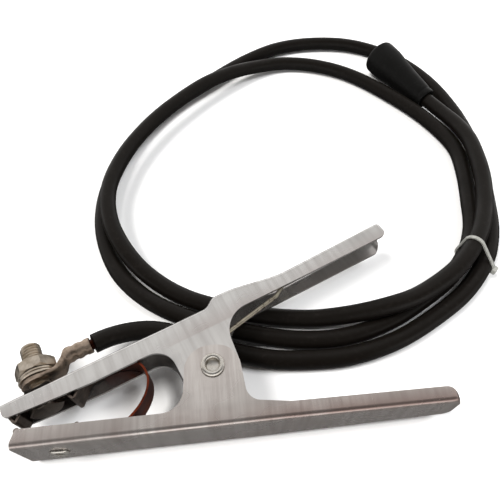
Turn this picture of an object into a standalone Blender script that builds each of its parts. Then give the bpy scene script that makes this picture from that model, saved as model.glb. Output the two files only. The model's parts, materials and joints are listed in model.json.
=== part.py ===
"""Sprung ground clamp for welding, lying on its side with its cable coiled behind it.

Lengths are in metres. Every shape is drawn about the pivot: +X runs along the lower
arm towards its handle end, +Y from the lower arm to the upper one, and +Z along the
pivot axis, up from the table. The upper arm's own pieces are drawn in a frame that is
turned by REST_ANGLE about the pivot, with V as its second axis.
"""

import math

import bmesh
import bpy
from mathutils import Matrix, Vector

MM = 0.001
GAP = 0.3 * MM                      # air between neighbouring pieces

# Frame
PIVOT = Vector((-7.4 * MM, -23.8 * MM, 0.0))
REST_ANGLE = math.radians(22.4)     # between the two webs with the jaws closed

# Arms
SHEET = 1.5 * MM
BEND = 2.6 * MM                     # outer radius where a web turns into its side plates
LOWER_WEB_Y = -27.6 * MM
LOWER_BOTTOM = 2.0 * MM
LOWER_WIDTH = 29.5 * MM
LOWER_END_WIDTH = 23.0 * MM
LOWER_END = 112.3 * MM
UPPER_WEB_V = 30.0 * MM
UPPER_BOTTOM = 10.7 * MM
UPPER_WIDTH = 19.0 * MM
UPPER_END = 121.8 * MM
HUMP = 4.2 * MM                     # rise of the upper web just behind the pivot
HANDLE_U = 58.0 * MM
HANDLE_SPREAD = 2.6 * MM            # how far the upper web runs outwards past HANDLE_U
LOWER_MID = LOWER_BOTTOM + LOWER_WIDTH / 2
UPPER_MID = UPPER_BOTTOM + UPPER_WIDTH / 2

# Pivot
RIVET_R = 4.0 * MM
RIVET_HEAD_R = 5.6 * MM
RIVET_HEAD = 1.7 * MM
RIVET_DIMPLE_R = 2.9 * MM
HOLE_R = RIVET_R + GAP
SPACER_R = 7.6 * MM
BUSH_R = 6.6 * MM
SPRING_R = 10.4 * MM
WIRE_R = 1.1 * MM
SPRING_TURNS = 5
SPRING_LOW = 14.0 * MM
SPRING_HIGH = 26.4 * MM
LEG_TILT = math.radians(11.1)       # angle between a spring leg and the arm it pushes
LEG_LENGTH = 49.0 * MM
FOOT_SLOPE = math.radians(32.0)
FOOT_LENGTH = 6.0 * MM

# Terminal stack on the upper jaw
BOLT_U = -75.9 * MM
BOLT_R = 4.9 * MM
HEAD_AF = 14.0 * MM
HEAD_HEIGHT = 4.6 * MM
NUT_AF = 17.0 * MM
BOLT_TIP_V = 56.9 * MM
LOCK_NUT_V = (30.3 * MM, 34.6 * MM)
PALM_V = (34.9 * MM, 37.1 * MM)
FLAT_WASHER_V = (37.4 * MM, 38.6 * MM)
SPRING_WASHER_V = (38.9 * MM, 40.4 * MM)
NUT_V = (40.7 * MM, 46.6 * MM)
PALM_R = 8.2 * MM
FLAT_WASHER_R = 9.0 * MM
SPRING_WASHER_R = 8.4 * MM

# Contacts and strap
STRAP_T = 1.0 * MM
CONTACT_T = 1.2 * MM
CONTACT_WIDTH = 14.6 * MM
LOWER_CONTACT_WIDTH = 23.0 * MM
STRAP_WIDTH = 14.2 * MM
STRAP_RIVET_X = -71.5 * MM
STRAP_RIVET_R = 3.0 * MM

# Cable
CABLE_R = 5.1 * MM
CONDUCTOR_R = 2.8 * MM
CABLE_STEP = 25.5 * MM
LUG_R = 4.2 * MM
LUG_START = Vector((-60.4 * MM, 43.4 * MM, 19.6 * MM))
LUG_END = Vector((-48.6 * MM, 44.7 * MM, 16.9 * MM))
LUG_AXIS = (LUG_END - LUG_START).normalized()
LUG_TO_JACKET = 1.4 * MM

# Plug, whose depths are measured from the boot's rear mouth
BOOT_REAR = Vector((178.0 * MM, 206.0 * MM, 8.6 * MM))
BOOT_FRONT = Vector((152.1 * MM, 258.8 * MM, 14.4 * MM))
BOOT_AXIS = (BOOT_FRONT - BOOT_REAR).normalized()
BOOT_LENGTH = (BOOT_FRONT - BOOT_REAR).length
JACKET_IN_BOOT = 12.0 * MM
CONDUCTOR_IN_BOOT = 29.0 * MM
SCREW_IN_BOOT = 23.0 * MM
SCREW_R = 2.2 * MM
SCREW_SPAN = (3.15 * MM, 6.3 * MM)  # the screw's ends, out from the pin's axis

# Tie
TIE_FOOT = Vector((159.5 * MM, 59.5 * MM, 0.0))
TIE_ALONG = Vector((0.72, 0.69, 0.0)).normalized()
TIE_ACROSS = Vector((TIE_ALONG.y, -TIE_ALONG.x, 0.0))
TIE_CLEARANCE = 0.45 * MM
TIE_THICKNESS = 0.8 * MM
TIE_HALF_WIDTH = 1.0 * MM
TIE_HEAD = (2.9 * MM, 4.4 * MM, 4.2 * MM)
TIE_REACH = 45.0 * MM               # a pass further from the foot isn't tied

# The cable's centre line, from the lug to the plug, in millimetres about the pivot.
# Three passes run side by side below the upper arm, and two over the top of the coil.
CABLE_ROUTE = [
    (-54.5, 26.8, 15.0), (-44.5, 30.3, 12.0), (-34.0, 31.8, 8.9), (-23.0, 30.2, 6.2),
    (-12.0, 26.0, 5.2), (0.0, 20.4, 5.2), (13.0, 14.9, 5.2), (32.0, 9.5, 5.2),
    (52.0, 7.3, 5.2), (73.0, 7.4, 5.2), (99.0, 13.2, 5.2), (126.0, 25.4, 5.3),
    (147.5, 38.6, 6.1), (166.5, 57.5, 6.8), (178.5, 78.0, 6.1), (187.0, 104.0, 5.2),
    (194.0, 134.0, 5.2), (197.5, 165.0, 5.2), (196.0, 198.0, 5.2), (187.2, 235.0, 5.2),
    (167.5, 268.0, 5.2), (138.0, 289.5, 5.2), (105.0, 296.0, 5.2), (73.0, 292.0, 5.2),
    (44.0, 277.0, 5.2), (12.0, 252.0, 5.2), (-25.0, 219.0, 5.2), (-50.0, 182.0, 5.2),
    (-62.5, 148.0, 5.2), (-66.0, 120.0, 5.2), (-62.5, 95.0, 5.2), (-52.0, 70.5, 5.2),
    (-36.5, 53.2, 5.2), (-17.5, 40.6, 5.2), (4.0, 31.2, 5.2), (30.0, 22.6, 5.2),
    (50.0, 18.6, 5.2), (72.0, 18.2, 5.2), (97.0, 24.4, 5.2), (121.0, 35.8, 5.5),
    (142.0, 48.9, 6.4), (157.5, 64.9, 6.8), (167.8, 82.6, 6.1), (174.8, 104.2, 5.2),
    (181.5, 132.0, 5.2), (183.5, 156.0, 5.2), (174.0, 185.0, 5.2), (157.0, 213.0, 5.2),
    (127.0, 248.0, 5.2), (101.0, 263.5, 5.2), (75.0, 269.0, 5.5), (51.0, 263.0, 8.0),
    (31.0, 252.5, 11.8), (10.0, 237.6, 14.8), (-13.0, 216.6, 15.6), (-35.0, 191.0, 15.8),
    (-52.5, 160.0, 15.9), (-60.5, 130.0, 15.9), (-58.5, 106.5, 14.9), (-51.0, 88.0, 12.4),
    (-41.0, 73.4, 8.6), (-29.0, 62.0, 5.8), (-14.2, 51.6, 5.2), (6.0, 42.4, 5.2),
    (28.0, 35.4, 5.3), (54.0, 30.8, 5.5), (70.0, 29.6, 7.8), (84.0, 28.8, 12.0),
    (98.0, 29.6, 15.2), (112.0, 32.6, 16.0), (127.0, 39.2, 16.5), (141.0, 47.6, 17.2),
    (153.5, 58.6, 17.7), (164.5, 71.5, 17.4), (173.0, 86.0, 16.7), (180.0, 102.0, 16.0),
    (185.0, 118.0, 15.7), (188.4, 136.0, 15.3), (190.2, 154.0, 14.4), (188.6, 172.0, 12.2),
    (184.8, 189.0, 9.2),
]


# Materials

def material(name, color, roughness, metallic):
    found = bpy.data.materials.get(name)
    if found:
        return found
    made = bpy.data.materials.new(name)
    made.use_nodes = True
    shader = made.node_tree.nodes["Principled BSDF"]
    shader.inputs["Base Color"].default_value = (*color, 1.0)
    shader.inputs["Roughness"].default_value = roughness
    shader.inputs["Metallic"].default_value = metallic
    made.diffuse_color = (*color, 1.0)
    return made


def plated_steel():
    return material("plated_steel", (0.62, 0.61, 0.60), 0.22, 1.0)


def zinc_hardware():
    return material("zinc_hardware", (0.50, 0.47, 0.42), 0.35, 1.0)


def dark_steel():
    return material("dark_steel", (0.08, 0.075, 0.07), 0.45, 1.0)


def spring_steel():
    return material("spring_steel", (0.45, 0.41, 0.33), 0.3, 1.0)


def bare_copper():
    return material("bare_copper", (0.55, 0.20, 0.10), 0.3, 1.0)


def tinned_copper():
    return material("tinned_copper", (0.42, 0.36, 0.30), 0.35, 1.0)


def brass():
    return material("brass", (0.70, 0.52, 0.22), 0.25, 1.0)


def rubber():
    return material("rubber", (0.012, 0.011, 0.010), 0.42, 0.0)


def boot_rubber():
    return material("boot_rubber", (0.016, 0.016, 0.015), 0.5, 0.0)


def nylon():
    return material("nylon", (0.40, 0.40, 0.37), 0.35, 0.0)


# Placing, cutting and joining

def place(obj, turned=False):
    """Stand an object drawn about the pivot where the pivot is."""
    obj.location = PIVOT
    obj.rotation_euler = (0.0, 0.0, REST_ANGLE if turned else 0.0)


def add_mesh(name, bm, finish, turned=False, smooth_angle=40.0):
    bmesh.ops.recalc_face_normals(bm, faces=bm.faces)
    mesh = bpy.data.meshes.new(name)
    bm.to_mesh(mesh)
    bm.free()
    mesh.shade_smooth()
    mesh.set_sharp_from_angle(angle=math.radians(smooth_angle))
    if finish:
        mesh.materials.append(finish)
    obj = bpy.data.objects.new(name, mesh)
    bpy.context.scene.collection.objects.link(obj)
    place(obj, turned)
    return obj


def as_tool(obj):
    obj.hide_render = True
    obj.display_type = "WIRE"
    return obj


def boolean(target, tool, operation):
    step = target.modifiers.new(operation.lower(), "BOOLEAN")
    step.operation = operation
    step.solver = "EXACT"
    step.object = as_tool(tool)


def axis_matrix(start, direction):
    """Turn +Z to the direction, and move the origin to the start."""
    turn = Vector((0.0, 0.0, 1.0)).rotation_difference(Vector(direction))
    return Matrix.Translation(start) @ turn.to_matrix().to_4x4()


# Profiles and solids

def in_mm(points):
    return [tuple(value * MM for value in point) for point in points]


def bridge_rings(bm, rings, closed=False):
    """Walls between rings of equal length."""
    pairs = list(zip(rings, rings[1:]))
    if closed:
        pairs.append((rings[-1], rings[0]))
    for near, far in pairs:
        for k in range(len(near)):
            n = (k + 1) % len(near)
            bm.faces.new((near[k], near[n], far[n], far[k]))


def rounded(corners, steps=5):
    """A path through corners (x, y, radius), with each corner turned into an arc."""
    path = []
    last = len(corners) - 1
    for i, (x, y, radius) in enumerate(corners):
        here = Vector((x, y))
        if radius == 0.0 or i in (0, last):
            path.append(here)
            continue
        back = (Vector(corners[i - 1][:2]) - here).normalized()
        ahead = (Vector(corners[i + 1][:2]) - here).normalized()
        half = back.angle(ahead) / 2
        reach = radius / math.tan(half)
        centre = here + (back + ahead).normalized() * radius / math.sin(half)
        first = here + back * reach - centre
        turn = first.angle_signed(here + ahead * reach - centre)
        for k in range(steps + 1):
            angle = -turn * k / steps
            path.append(centre + Matrix.Rotation(angle, 2) @ first)
    return path


def turned_solid(name, profile, start, direction, finish, turned=False, sides=24):
    """A profile of (radius, height) points spun round an axis; radius 0 closes an end."""
    bm = bmesh.new()
    rings = []
    for radius, height in profile:
        if radius == 0.0:
            rings.append([bm.verts.new((0.0, 0.0, height))])
            continue
        ring = []
        for k in range(sides):
            angle = math.tau * k / sides
            ring.append(bm.verts.new((radius * math.cos(angle), radius * math.sin(angle), height)))
        rings.append(ring)
    pairs = list(zip(rings, rings[1:]))
    if profile[0][0] != 0.0:
        pairs.append((rings[-1], rings[0]))
    for lower, upper in pairs:
        for k in range(sides):
            n = (k + 1) % sides
            if len(lower) == 1:
                bm.faces.new((lower[0], upper[k], upper[n]))
            elif len(upper) == 1:
                bm.faces.new((lower[k], lower[n], upper[0]))
            else:
                bm.faces.new((lower[k], lower[n], upper[n], upper[k]))
    bm.transform(axis_matrix(start, direction))
    return add_mesh(name, bm, finish, turned)


def ring_solid(name, inner, outer, height, start, direction, finish, turned=False):
    profile = [(inner, 0.0), (outer, 0.0), (outer, height), (inner, height)]
    return turned_solid(name, profile, start, direction, finish, turned)


def rod(name, radius, start, end, finish=None, turned=False, sides=24):
    length = (end - start).length
    profile = [(0.0, 0.0), (radius, 0.0), (radius, length), (0.0, length)]
    return turned_solid(name, profile, start, end - start, finish, turned, sides)


def hexagon(name, across_flats, height, start, direction, finish, turned=False):
    """A hexagonal prism whose corners are turned off at both ends."""
    corner = across_flats / math.sqrt(3.0)
    face = across_flats * 0.47
    bm = bmesh.new()
    levels = []
    for z in (0.0, height):
        level = []
        for k in range(6):
            angle = math.tau * k / 6
            level.append(bm.verts.new((corner * math.cos(angle), corner * math.sin(angle), z)))
        levels.append(level)
    bridge_rings(bm, levels)
    bm.faces.new(levels[0])
    bm.faces.new(levels[1])
    bm.transform(axis_matrix(start, direction))
    body = add_mesh(name, bm, finish, turned, 25.0)
    drop = (corner - face) * math.tan(math.radians(30.0))
    chamfer = [(0.0, 0.0), (face, 0.0), (corner + GAP, drop), (corner + GAP, height - drop),
               (face, height), (0.0, height)]
    form = turned_solid(name + "_form", chamfer, start, direction, None, turned, 36)
    boolean(body, form, "INTERSECT")
    return body


def strip(name, path, thickness, low, high, finish, turned=False):
    """A flat strip that follows a path in plan and stands from low to high."""
    left, right = [], []
    for i, point in enumerate(path):
        back = (point - path[i - 1]).normalized() if i else None
        ahead = (path[i + 1] - point).normalized() if i + 1 < len(path) else None
        back, ahead = back or ahead, ahead or back
        along = (back + ahead).normalized()
        normal = Vector((-along.y, along.x))
        reach = thickness / 2 / max(0.35, along.dot(ahead))
        left.append(point + normal * reach)
        right.append(point - normal * reach)
    outline = left + right[::-1]
    bm = bmesh.new()
    floor = [bm.verts.new((p.x, p.y, low)) for p in outline]
    roof = [bm.verts.new((p.x, p.y, high)) for p in outline]
    count = len(outline)
    for i in range(count):
        n = (i + 1) % count
        bm.faces.new((floor[i], floor[n], roof[n], roof[i]))
    for i in range(len(path) - 1):
        far = count - 1 - i
        bm.faces.new((floor[i], floor[i + 1], floor[far - 1], floor[far]))
        bm.faces.new((roof[i], roof[i + 1], roof[far - 1], roof[far]))
    return add_mesh(name, bm, finish, turned, 35.0)


def bolt_hole(name, low, high):
    """A tool for the jaw bolt's hole between two heights, in mm, over the pivot line."""
    return rod(name, BOLT_R + GAP, Vector((BOLT_U, low * MM, UPPER_MID)),
               Vector((BOLT_U, high * MM, UPPER_MID)), turned=True)


def strap_rivet_hole(name, low, high):
    """A tool for the strap rivet's hole between two heights, in mm."""
    return rod(name, STRAP_RIVET_R + GAP, Vector((STRAP_RIVET_X, low * MM, LOWER_MID)),
               Vector((STRAP_RIVET_X, high * MM, LOWER_MID)))


def smooth_path(points, spacing):
    """Evenly spaced points on a centripetal Catmull-Rom curve through the given ones."""
    ends = [2 * points[0] - points[1]] + list(points) + [2 * points[-1] - points[-2]]
    dense = []
    for p0, p1, p2, p3 in zip(ends, ends[1:], ends[2:], ends[3:]):
        t1 = (p1 - p0).length ** 0.5
        t2 = t1 + (p2 - p1).length ** 0.5
        t3 = t2 + (p3 - p2).length ** 0.5
        for k in range(24):
            t = t1 + (t2 - t1) * k / 24
            a1 = p0.lerp(p1, t / t1)
            a2 = p1.lerp(p2, (t - t1) / (t2 - t1))
            a3 = p2.lerp(p3, (t - t2) / (t3 - t2))
            dense.append(a1.lerp(a2, t / t2).lerp(a2.lerp(a3, (t - t1) / (t3 - t1)),
                                                  (t - t1) / (t2 - t1)))
    dense.append(points[-1].copy())
    total = sum((b - a).length for a, b in zip(dense, dense[1:]))
    count = round(total / spacing)
    even, done, target = [dense[0]], 0.0, total / count
    for a, b in zip(dense, dense[1:]):
        step = (b - a).length
        while done + step >= target and len(even) < count:
            even.append(a.lerp(b, (target - done) / step))
            target += total / count
        done += step
    even.append(dense[-1])
    return even


def tube(name, points, radius, finish, resolution=2, turned=False):
    curve = bpy.data.curves.new(name, "CURVE")
    curve.dimensions = "3D"
    curve.bevel_depth = radius
    curve.bevel_resolution = resolution
    curve.use_fill_caps = True
    line = curve.splines.new("POLY")
    line.points.add(len(points) - 1)
    for slot, point in zip(line.points, points):
        slot.co = (*point, 1.0)
    curve.materials.append(finish)
    obj = bpy.data.objects.new(name, curve)
    bpy.context.scene.collection.objects.link(obj)
    place(obj, turned)
    return obj


# The two stamped arms

def channel(name, edge, web_at, side, mid, half_width, finish, turned):
    """A U channel folded from sheet.

    The edge is the free edge of both side plates, as a path in plan. web_at(x) is
    where the web's outer face lies, side is +1 or -1 for the way that face looks, and
    half_width(x) is half the channel's outer width.
    """
    bm = bmesh.new()
    rings = []
    for x, y in edge:
        depth = side * (web_at(x) - y)
        bend = min(BEND, depth - GAP)
        half = half_width(x)
        ring = []
        for inset in (0.0, SHEET):
            radius = bend - inset
            wall = [(depth, half - inset)]
            for k in range(5):
                angle = math.pi / 2 * k / 4
                wall.append((bend - radius * math.sin(angle), half - bend + radius * math.cos(angle)))
            wall += [(d, -z) for d, z in reversed(wall)]
            ring += wall if inset == 0.0 else wall[::-1]
        rings.append([bm.verts.new((x, web_at(x) - side * d, mid + z)) for d, z in ring])
    bridge_rings(bm, rings)
    count = len(rings[0])
    for ring in (rings[0], rings[-1]):
        for k in range(count // 2 - 1):
            bm.faces.new((ring[k], ring[k + 1], ring[count - 2 - k], ring[count - 1 - k]))
    return add_mesh(name, bm, finish, turned)


def end_round(x, end, radius):
    """How much a width shrinks within one radius of a rounded end."""
    past = x - (end - radius)
    if past <= 0.0:
        return 0.0
    return radius - math.sqrt(max(0.0, radius ** 2 - past ** 2))


def with_stations(path, stations):
    """The path with extra points on its straight runs, at the given x."""
    full = [path[0]]
    for a, b in zip(path, path[1:]):
        for x in stations:
            if a.x + 0.8 * MM < x < b.x - 0.8 * MM:
                full.append(a.lerp(b, (x - a.x) / (b.x - a.x)))
        full.append(b)
    return full


def make_lower_arm():
    corners = [(-88.2, -24.8, 0), (-86.6, -19.5, 1), (-14.6, -19.5, 10), (-12.8, 10.1, 12),
               (12.0, 10.1, 11.5), (14.9, -17.4, 7), (34.0, -20.1, 12), (112.2, -20.2, 6),
               (112.3, -24.8, 0)]
    edge = with_stations(rounded(in_mm(corners)), [60.0 * MM, 90.0 * MM])
    taper_start = 30.0 * MM

    def half_width(x):
        taper = max(0.0, (x - taper_start) / (LOWER_END - taper_start))
        width = LOWER_WIDTH + (LOWER_END_WIDTH - LOWER_WIDTH) * taper
        return width / 2 - end_round(x, LOWER_END, 4.0 * MM)

    arm = channel("lower_arm", edge, lambda x: LOWER_WEB_Y, -1, LOWER_MID, half_width,
                  plated_steel(), False)
    pivot_hole = rod("lower_pivot_hole", HOLE_R, Vector((0, 0, -MM)),
                     Vector((0, 0, LOWER_BOTTOM + LOWER_WIDTH + MM)))
    boolean(arm, pivot_hole, "DIFFERENCE")
    boolean(arm, strap_rivet_hole("lower_rivet_hole", -30.0, -24.0), "DIFFERENCE")


def make_upper_arm():
    corners = [(-92.2, 27.2, 0), (-91.8, 22.6, 2.5), (-78.0, 21.4, 8), (-52.0, 19.8, 20),
               (-15.4, 19.8, 10.5), (-14.2, -11.5, 11), (11.6, -11.5, 11), (15.6, 21.4, 15),
               (60.0, 21.8, 20), (121.7, 22.8, 6), (121.8, 29.8, 0)]
    edge = with_stations(rounded(in_mm(corners)), [34.0 * MM, 38.0 * MM, 44.0 * MM, 90.0 * MM])

    def ease(x, start, length):
        part = min(1.0, max(0.0, (x - start * MM) / (length * MM)))
        return part * part * (3 - 2 * part)

    def web_at(x):
        hump = HUMP * (ease(x, 9.0, 8.0) - ease(x, 22.0, 34.0))
        spread = HANDLE_SPREAD * max(0.0, x - HANDLE_U) / (UPPER_END - HANDLE_U)
        return UPPER_WEB_V + hump + spread

    def half_width(x):
        return UPPER_WIDTH / 2 - end_round(x, UPPER_END, 3.5 * MM)

    arm = channel("upper_arm", edge, web_at, 1, UPPER_MID, half_width, plated_steel(), True)
    pivot_hole = rod("upper_pivot_hole", HOLE_R, Vector((0, 0, UPPER_BOTTOM - MM)),
                     Vector((0, 0, UPPER_BOTTOM + UPPER_WIDTH + MM)), turned=True)
    boolean(arm, pivot_hole, "DIFFERENCE")
    boolean(arm, bolt_hole("upper_bolt_hole", 26.0, 32.0), "DIFFERENCE")


# Pivot

def make_pivot_rivet():
    top = LOWER_BOTTOM + LOWER_WIDTH + GAP
    head = RIVET_HEAD_R
    profile = [(0.0, 0.0), (head - 0.9 * MM, 0.0), (head, 0.6 * MM), (head, RIVET_HEAD),
               (RIVET_R, RIVET_HEAD), (RIVET_R, top), (head, top), (head + 0.1 * MM, top + 0.6 * MM),
               (head - 0.5 * MM, top + 1.4 * MM), (head - 1.3 * MM, top + RIVET_HEAD),
               (RIVET_DIMPLE_R + 0.4 * MM, top + 1.2 * MM), (RIVET_DIMPLE_R, top - 1.0 * MM),
               (RIVET_DIMPLE_R - 0.3 * MM, top - 1.6 * MM), (0.0, top - 1.6 * MM)]
    turned_solid("pivot_rivet", profile, Vector((0, 0, 0)), (0, 0, 1), zinc_hardware(), sides=32)


def make_pivot_spacer():
    low = LOWER_BOTTOM + SHEET + GAP
    high = UPPER_BOTTOM - GAP
    ring_solid("pivot_spacer", HOLE_R, SPACER_R, high - low, Vector((0, 0, low)), (0, 0, 1),
               zinc_hardware())


def make_pivot_bush():
    low = UPPER_BOTTOM + SHEET + GAP
    high = UPPER_BOTTOM + UPPER_WIDTH - SHEET - GAP
    ring_solid("pivot_bush", HOLE_R, BUSH_R, high - low, Vector((0, 0, low)), (0, 0, 1),
               dark_steel())


def leg_points(arm_angle, side, height, web_inner):
    """A spring leg: straight off the coil, bent towards its arm's web, then along it."""
    tilt = side * LEG_TILT
    along = Vector((math.cos(tilt), math.sin(tilt)))
    root = Vector((-along.y, along.x)) * side * SPRING_R
    knee = root + along * LEG_LENGTH
    rest = side * (web_inner - WIRE_R - GAP)
    foot = Vector((knee.x + abs(rest - knee.y) / math.tan(FOOT_SLOPE), rest))
    bend = 4.0 * MM
    corners = [(*root, 0.0), (*knee, bend), (*foot, bend), (foot.x + FOOT_LENGTH, foot.y, 0.0)]
    turn = Matrix.Rotation(arm_angle, 2)
    return [(turn @ p).to_3d() + Vector((0, 0, height)) for p in rounded(corners, 3)]


def make_torsion_spring():
    top_leg = leg_points(REST_ANGLE, 1, SPRING_HIGH, UPPER_WEB_V - SHEET)
    low_leg = leg_points(0.0, -1, SPRING_LOW, -LOWER_WEB_Y - SHEET)
    start = -LEG_TILT - math.pi / 2
    sweep = REST_ANGLE + LEG_TILT + math.pi / 2 - start - math.tau * SPRING_TURNS
    coil = []
    count = 14 * SPRING_TURNS
    for k in range(1, count):
        angle = start + sweep * k / count
        height = SPRING_LOW + (SPRING_HIGH - SPRING_LOW) * k / count
        coil.append(Vector((SPRING_R * math.cos(angle), SPRING_R * math.sin(angle), height)))
    tube("torsion_spring", low_leg[::-1] + coil + top_leg, WIRE_R, spring_steel())


# Contacts, strap and terminal stack

def make_upper_contact():
    level = (UPPER_WEB_V - SHEET - GAP - STRAP_T - GAP - CONTACT_T / 2) / MM
    profile = [(-90.0, 26.2, 0), (-90.2, 23.4, 1), (-88.4, 19.3, 0.7), (-85.8, 22.0, 0.8),
               (-85.4, level, 1), (-67.2, level, 1.5), (-62.4, 17.6, 0.7), (-55.0, level, 2),
               (-49.0, level, 0)]
    low = UPPER_MID - CONTACT_WIDTH / 2
    contact = strip("upper_contact", rounded(in_mm(profile), 3), CONTACT_T, low,
                    low + CONTACT_WIDTH, tinned_copper(), True)
    boolean(contact, bolt_hole("upper_contact_hole", 20.0, 29.0), "DIFFERENCE")


def make_lower_contact():
    level = (LOWER_WEB_Y + SHEET + GAP + STRAP_T + GAP + CONTACT_T / 2) / MM
    profile = [(-87.0, -23.8, 0), (-88.9, -17.6, 0.7), (-80.0, level, 2), (-66.4, level, 1.5),
               (-61.6, -18.4, 0.7), (-56.0, level, 1), (-53.0, level, 0)]
    low = LOWER_MID - LOWER_CONTACT_WIDTH / 2
    contact = strip("lower_contact", rounded(in_mm(profile), 3), CONTACT_T, low,
                    low + LOWER_CONTACT_WIDTH, tinned_copper())
    boolean(contact, strap_rivet_hole("lower_contact_hole", -27.0, -20.0), "DIFFERENCE")


def make_copper_strap():
    """A band from under the upper contact, in a free loop, to under the lower one."""
    turn = Matrix.Rotation(REST_ANGLE, 2)
    upper_level = UPPER_WEB_V - SHEET - GAP - STRAP_T / 2
    lower_level = LOWER_WEB_Y + SHEET + GAP + STRAP_T / 2
    flat_end = [turn @ Vector((u * MM, upper_level)) for u in (-84.0, -66.0, -50.0, -46.0)]
    loop = [(-42.0, 9.4), (-35.0, 6.4), (-31.2, 0.6), (-31.0, -6.0), (-33.6, -12.4),
            (-38.4, -18.2), (-44.6, -22.8)]
    riveted_end = [Vector((x * MM, lower_level)) for x in (-51.5, -58.0, -78.5)]
    route = flat_end + [Vector(point) for point in in_mm(loop)] + riveted_end
    path = [p.to_2d() for p in smooth_path([q.to_3d() for q in route], 3.4 * MM)]
    low = UPPER_MID - STRAP_WIDTH / 2
    strap = strip("copper_strap", path, STRAP_T, low, low + STRAP_WIDTH, bare_copper())
    boolean(strap, bolt_hole("strap_bolt_hole", 20.0, 30.0), "DIFFERENCE")
    boolean(strap, strap_rivet_hole("strap_rivet_hole", -27.0, -22.0), "DIFFERENCE")


def make_strap_rivet():
    outer = LOWER_WEB_Y - GAP
    length = (SHEET + GAP + STRAP_T + GAP + CONTACT_T + 2 * GAP) / MM
    body = STRAP_RIVET_R / MM
    profile = [(2.0, -0.9), (3.2, -1.1), (4.2, -0.6), (4.4, 0.0), (body, 0.0), (body, length),
               (4.2, length), (4.1, length + 0.7), (3.2, length + 1.0), (2.0, length + 0.8)]
    turned_solid("strap_rivet", in_mm(profile), Vector((STRAP_RIVET_X, outer, LOWER_MID)),
                 (0, 1, 0), zinc_hardware())


def make_jaw_bolt():
    head_top = UPPER_WEB_V - SHEET - GAP - STRAP_T - GAP - CONTACT_T - GAP
    seat = Vector((BOLT_U, head_top - HEAD_HEIGHT, UPPER_MID))
    length = BOLT_TIP_V - seat.y
    bolt = hexagon("jaw_bolt", HEAD_AF, HEAD_HEIGHT, seat, (0, 1, 0), zinc_hardware(), True)
    profile = [(0.0, MM), (BOLT_R, MM), (BOLT_R, length - 1.2 * MM), (BOLT_R - MM, length),
               (0.0, length)]
    shank = turned_solid("jaw_bolt_shank", profile, seat, (0, 1, 0), None, True)
    boolean(bolt, shank, "UNION")


def make_nut(name, span, finish):
    low, high = span
    nut = hexagon(name, NUT_AF, high - low, Vector((BOLT_U, low, UPPER_MID)), (0, 1, 0), finish,
                  True)
    boolean(nut, bolt_hole(name + "_hole", low / MM - 1.0, high / MM + 1.0), "DIFFERENCE")


def make_washer(name, outer, span, finish):
    low, high = span
    ring_solid(name, BOLT_R + GAP, outer, high - low, Vector((BOLT_U, low, UPPER_MID)),
               (0, 1, 0), finish, True)


def make_cable_lug():
    """A flat palm round the bolt that swells into a barrel for the conductor."""
    low, high = PALM_V
    palm = turned_solid("cable_lug", [(0.0, low), (PALM_R, low), (PALM_R, high), (0.0, high)],
                        Vector((BOLT_U, 0, UPPER_MID)), (0, 1, 0), tinned_copper(), True, 32)
    middle = (low + high) / 2 / MM
    flat = (high - low) / 2 / MM - 0.02
    barrel = LUG_R / MM
    sides = 24
    # Sections across the lug: centre, half sizes along Z and V, and squareness.
    sections = [(-77.0, middle, 20.2, 7.7, flat, 4.0),
                (-66.9, middle, 20.2, 7.3, flat, 4.0),
                (-65.0, middle + 1.2, 20.1, 6.4, 2.1, 3.0),
                (-62.8, middle + 3.7, 19.9, 5.2, 3.3, 2.4),
                (*(LUG_START / MM), barrel, barrel, 2.0),
                (*(LUG_END / MM), barrel, barrel, 2.0)]
    bm = bmesh.new()
    rings = []
    for u, v, z, half_z, half_v, power in sections:
        ring = []
        for k in range(sides):
            c = math.cos(math.tau * k / sides)
            s = math.sin(math.tau * k / sides)
            side = math.copysign(abs(c) ** (2 / power), c) * half_z
            rise = math.copysign(abs(s) ** (2 / power), s) * half_v
            ring.append(bm.verts.new((u * MM, (v + rise) * MM, (z + side) * MM)))
        rings.append(ring)
    bridge_rings(bm, rings)
    bm.faces.new(rings[0])
    bm.faces.new(rings[-1])
    boolean(palm, add_mesh("lug_neck", bm, None, True), "UNION")
    boolean(palm, bolt_hole("lug_bolt_hole", 30.0, 50.0), "DIFFERENCE")
    bore = rod("lug_bore", CONDUCTOR_R + GAP, LUG_START + LUG_AXIS * MM, LUG_END + LUG_AXIS * 3 * MM,
               turned=True)
    boolean(palm, bore, "DIFFERENCE")


# Cable and plug

def cable_points():
    turn = Matrix.Rotation(REST_ANGLE, 3, "Z")
    start = turn @ (LUG_END + LUG_AXIS * LUG_TO_JACKET)
    end = BOOT_REAR + BOOT_AXIS * JACKET_IN_BOOT
    route = [Vector(point) for point in in_mm(CABLE_ROUTE)]
    even = smooth_path([start] + route + [BOOT_REAR, end], CABLE_STEP)
    leaving = start + (turn @ LUG_AXIS) * 6 * MM
    arriving = BOOT_REAR - BOOT_AXIS * 5 * MM
    return [start, leaving] + even[1:-1] + [arriving, end]


def make_cable():
    tube("welding_cable", cable_points(), CABLE_R, rubber())
    rod("conductor_lug_end", CONDUCTOR_R, LUG_START + LUG_AXIS * 2 * MM,
        LUG_END + LUG_AXIS * (LUG_TO_JACKET - GAP), bare_copper(), True)
    rod("conductor_plug_end", CONDUCTOR_R, BOOT_REAR + BOOT_AXIS * (JACKET_IN_BOOT + GAP),
        BOOT_REAR + BOOT_AXIS * CONDUCTOR_IN_BOOT, bare_copper())


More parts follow.
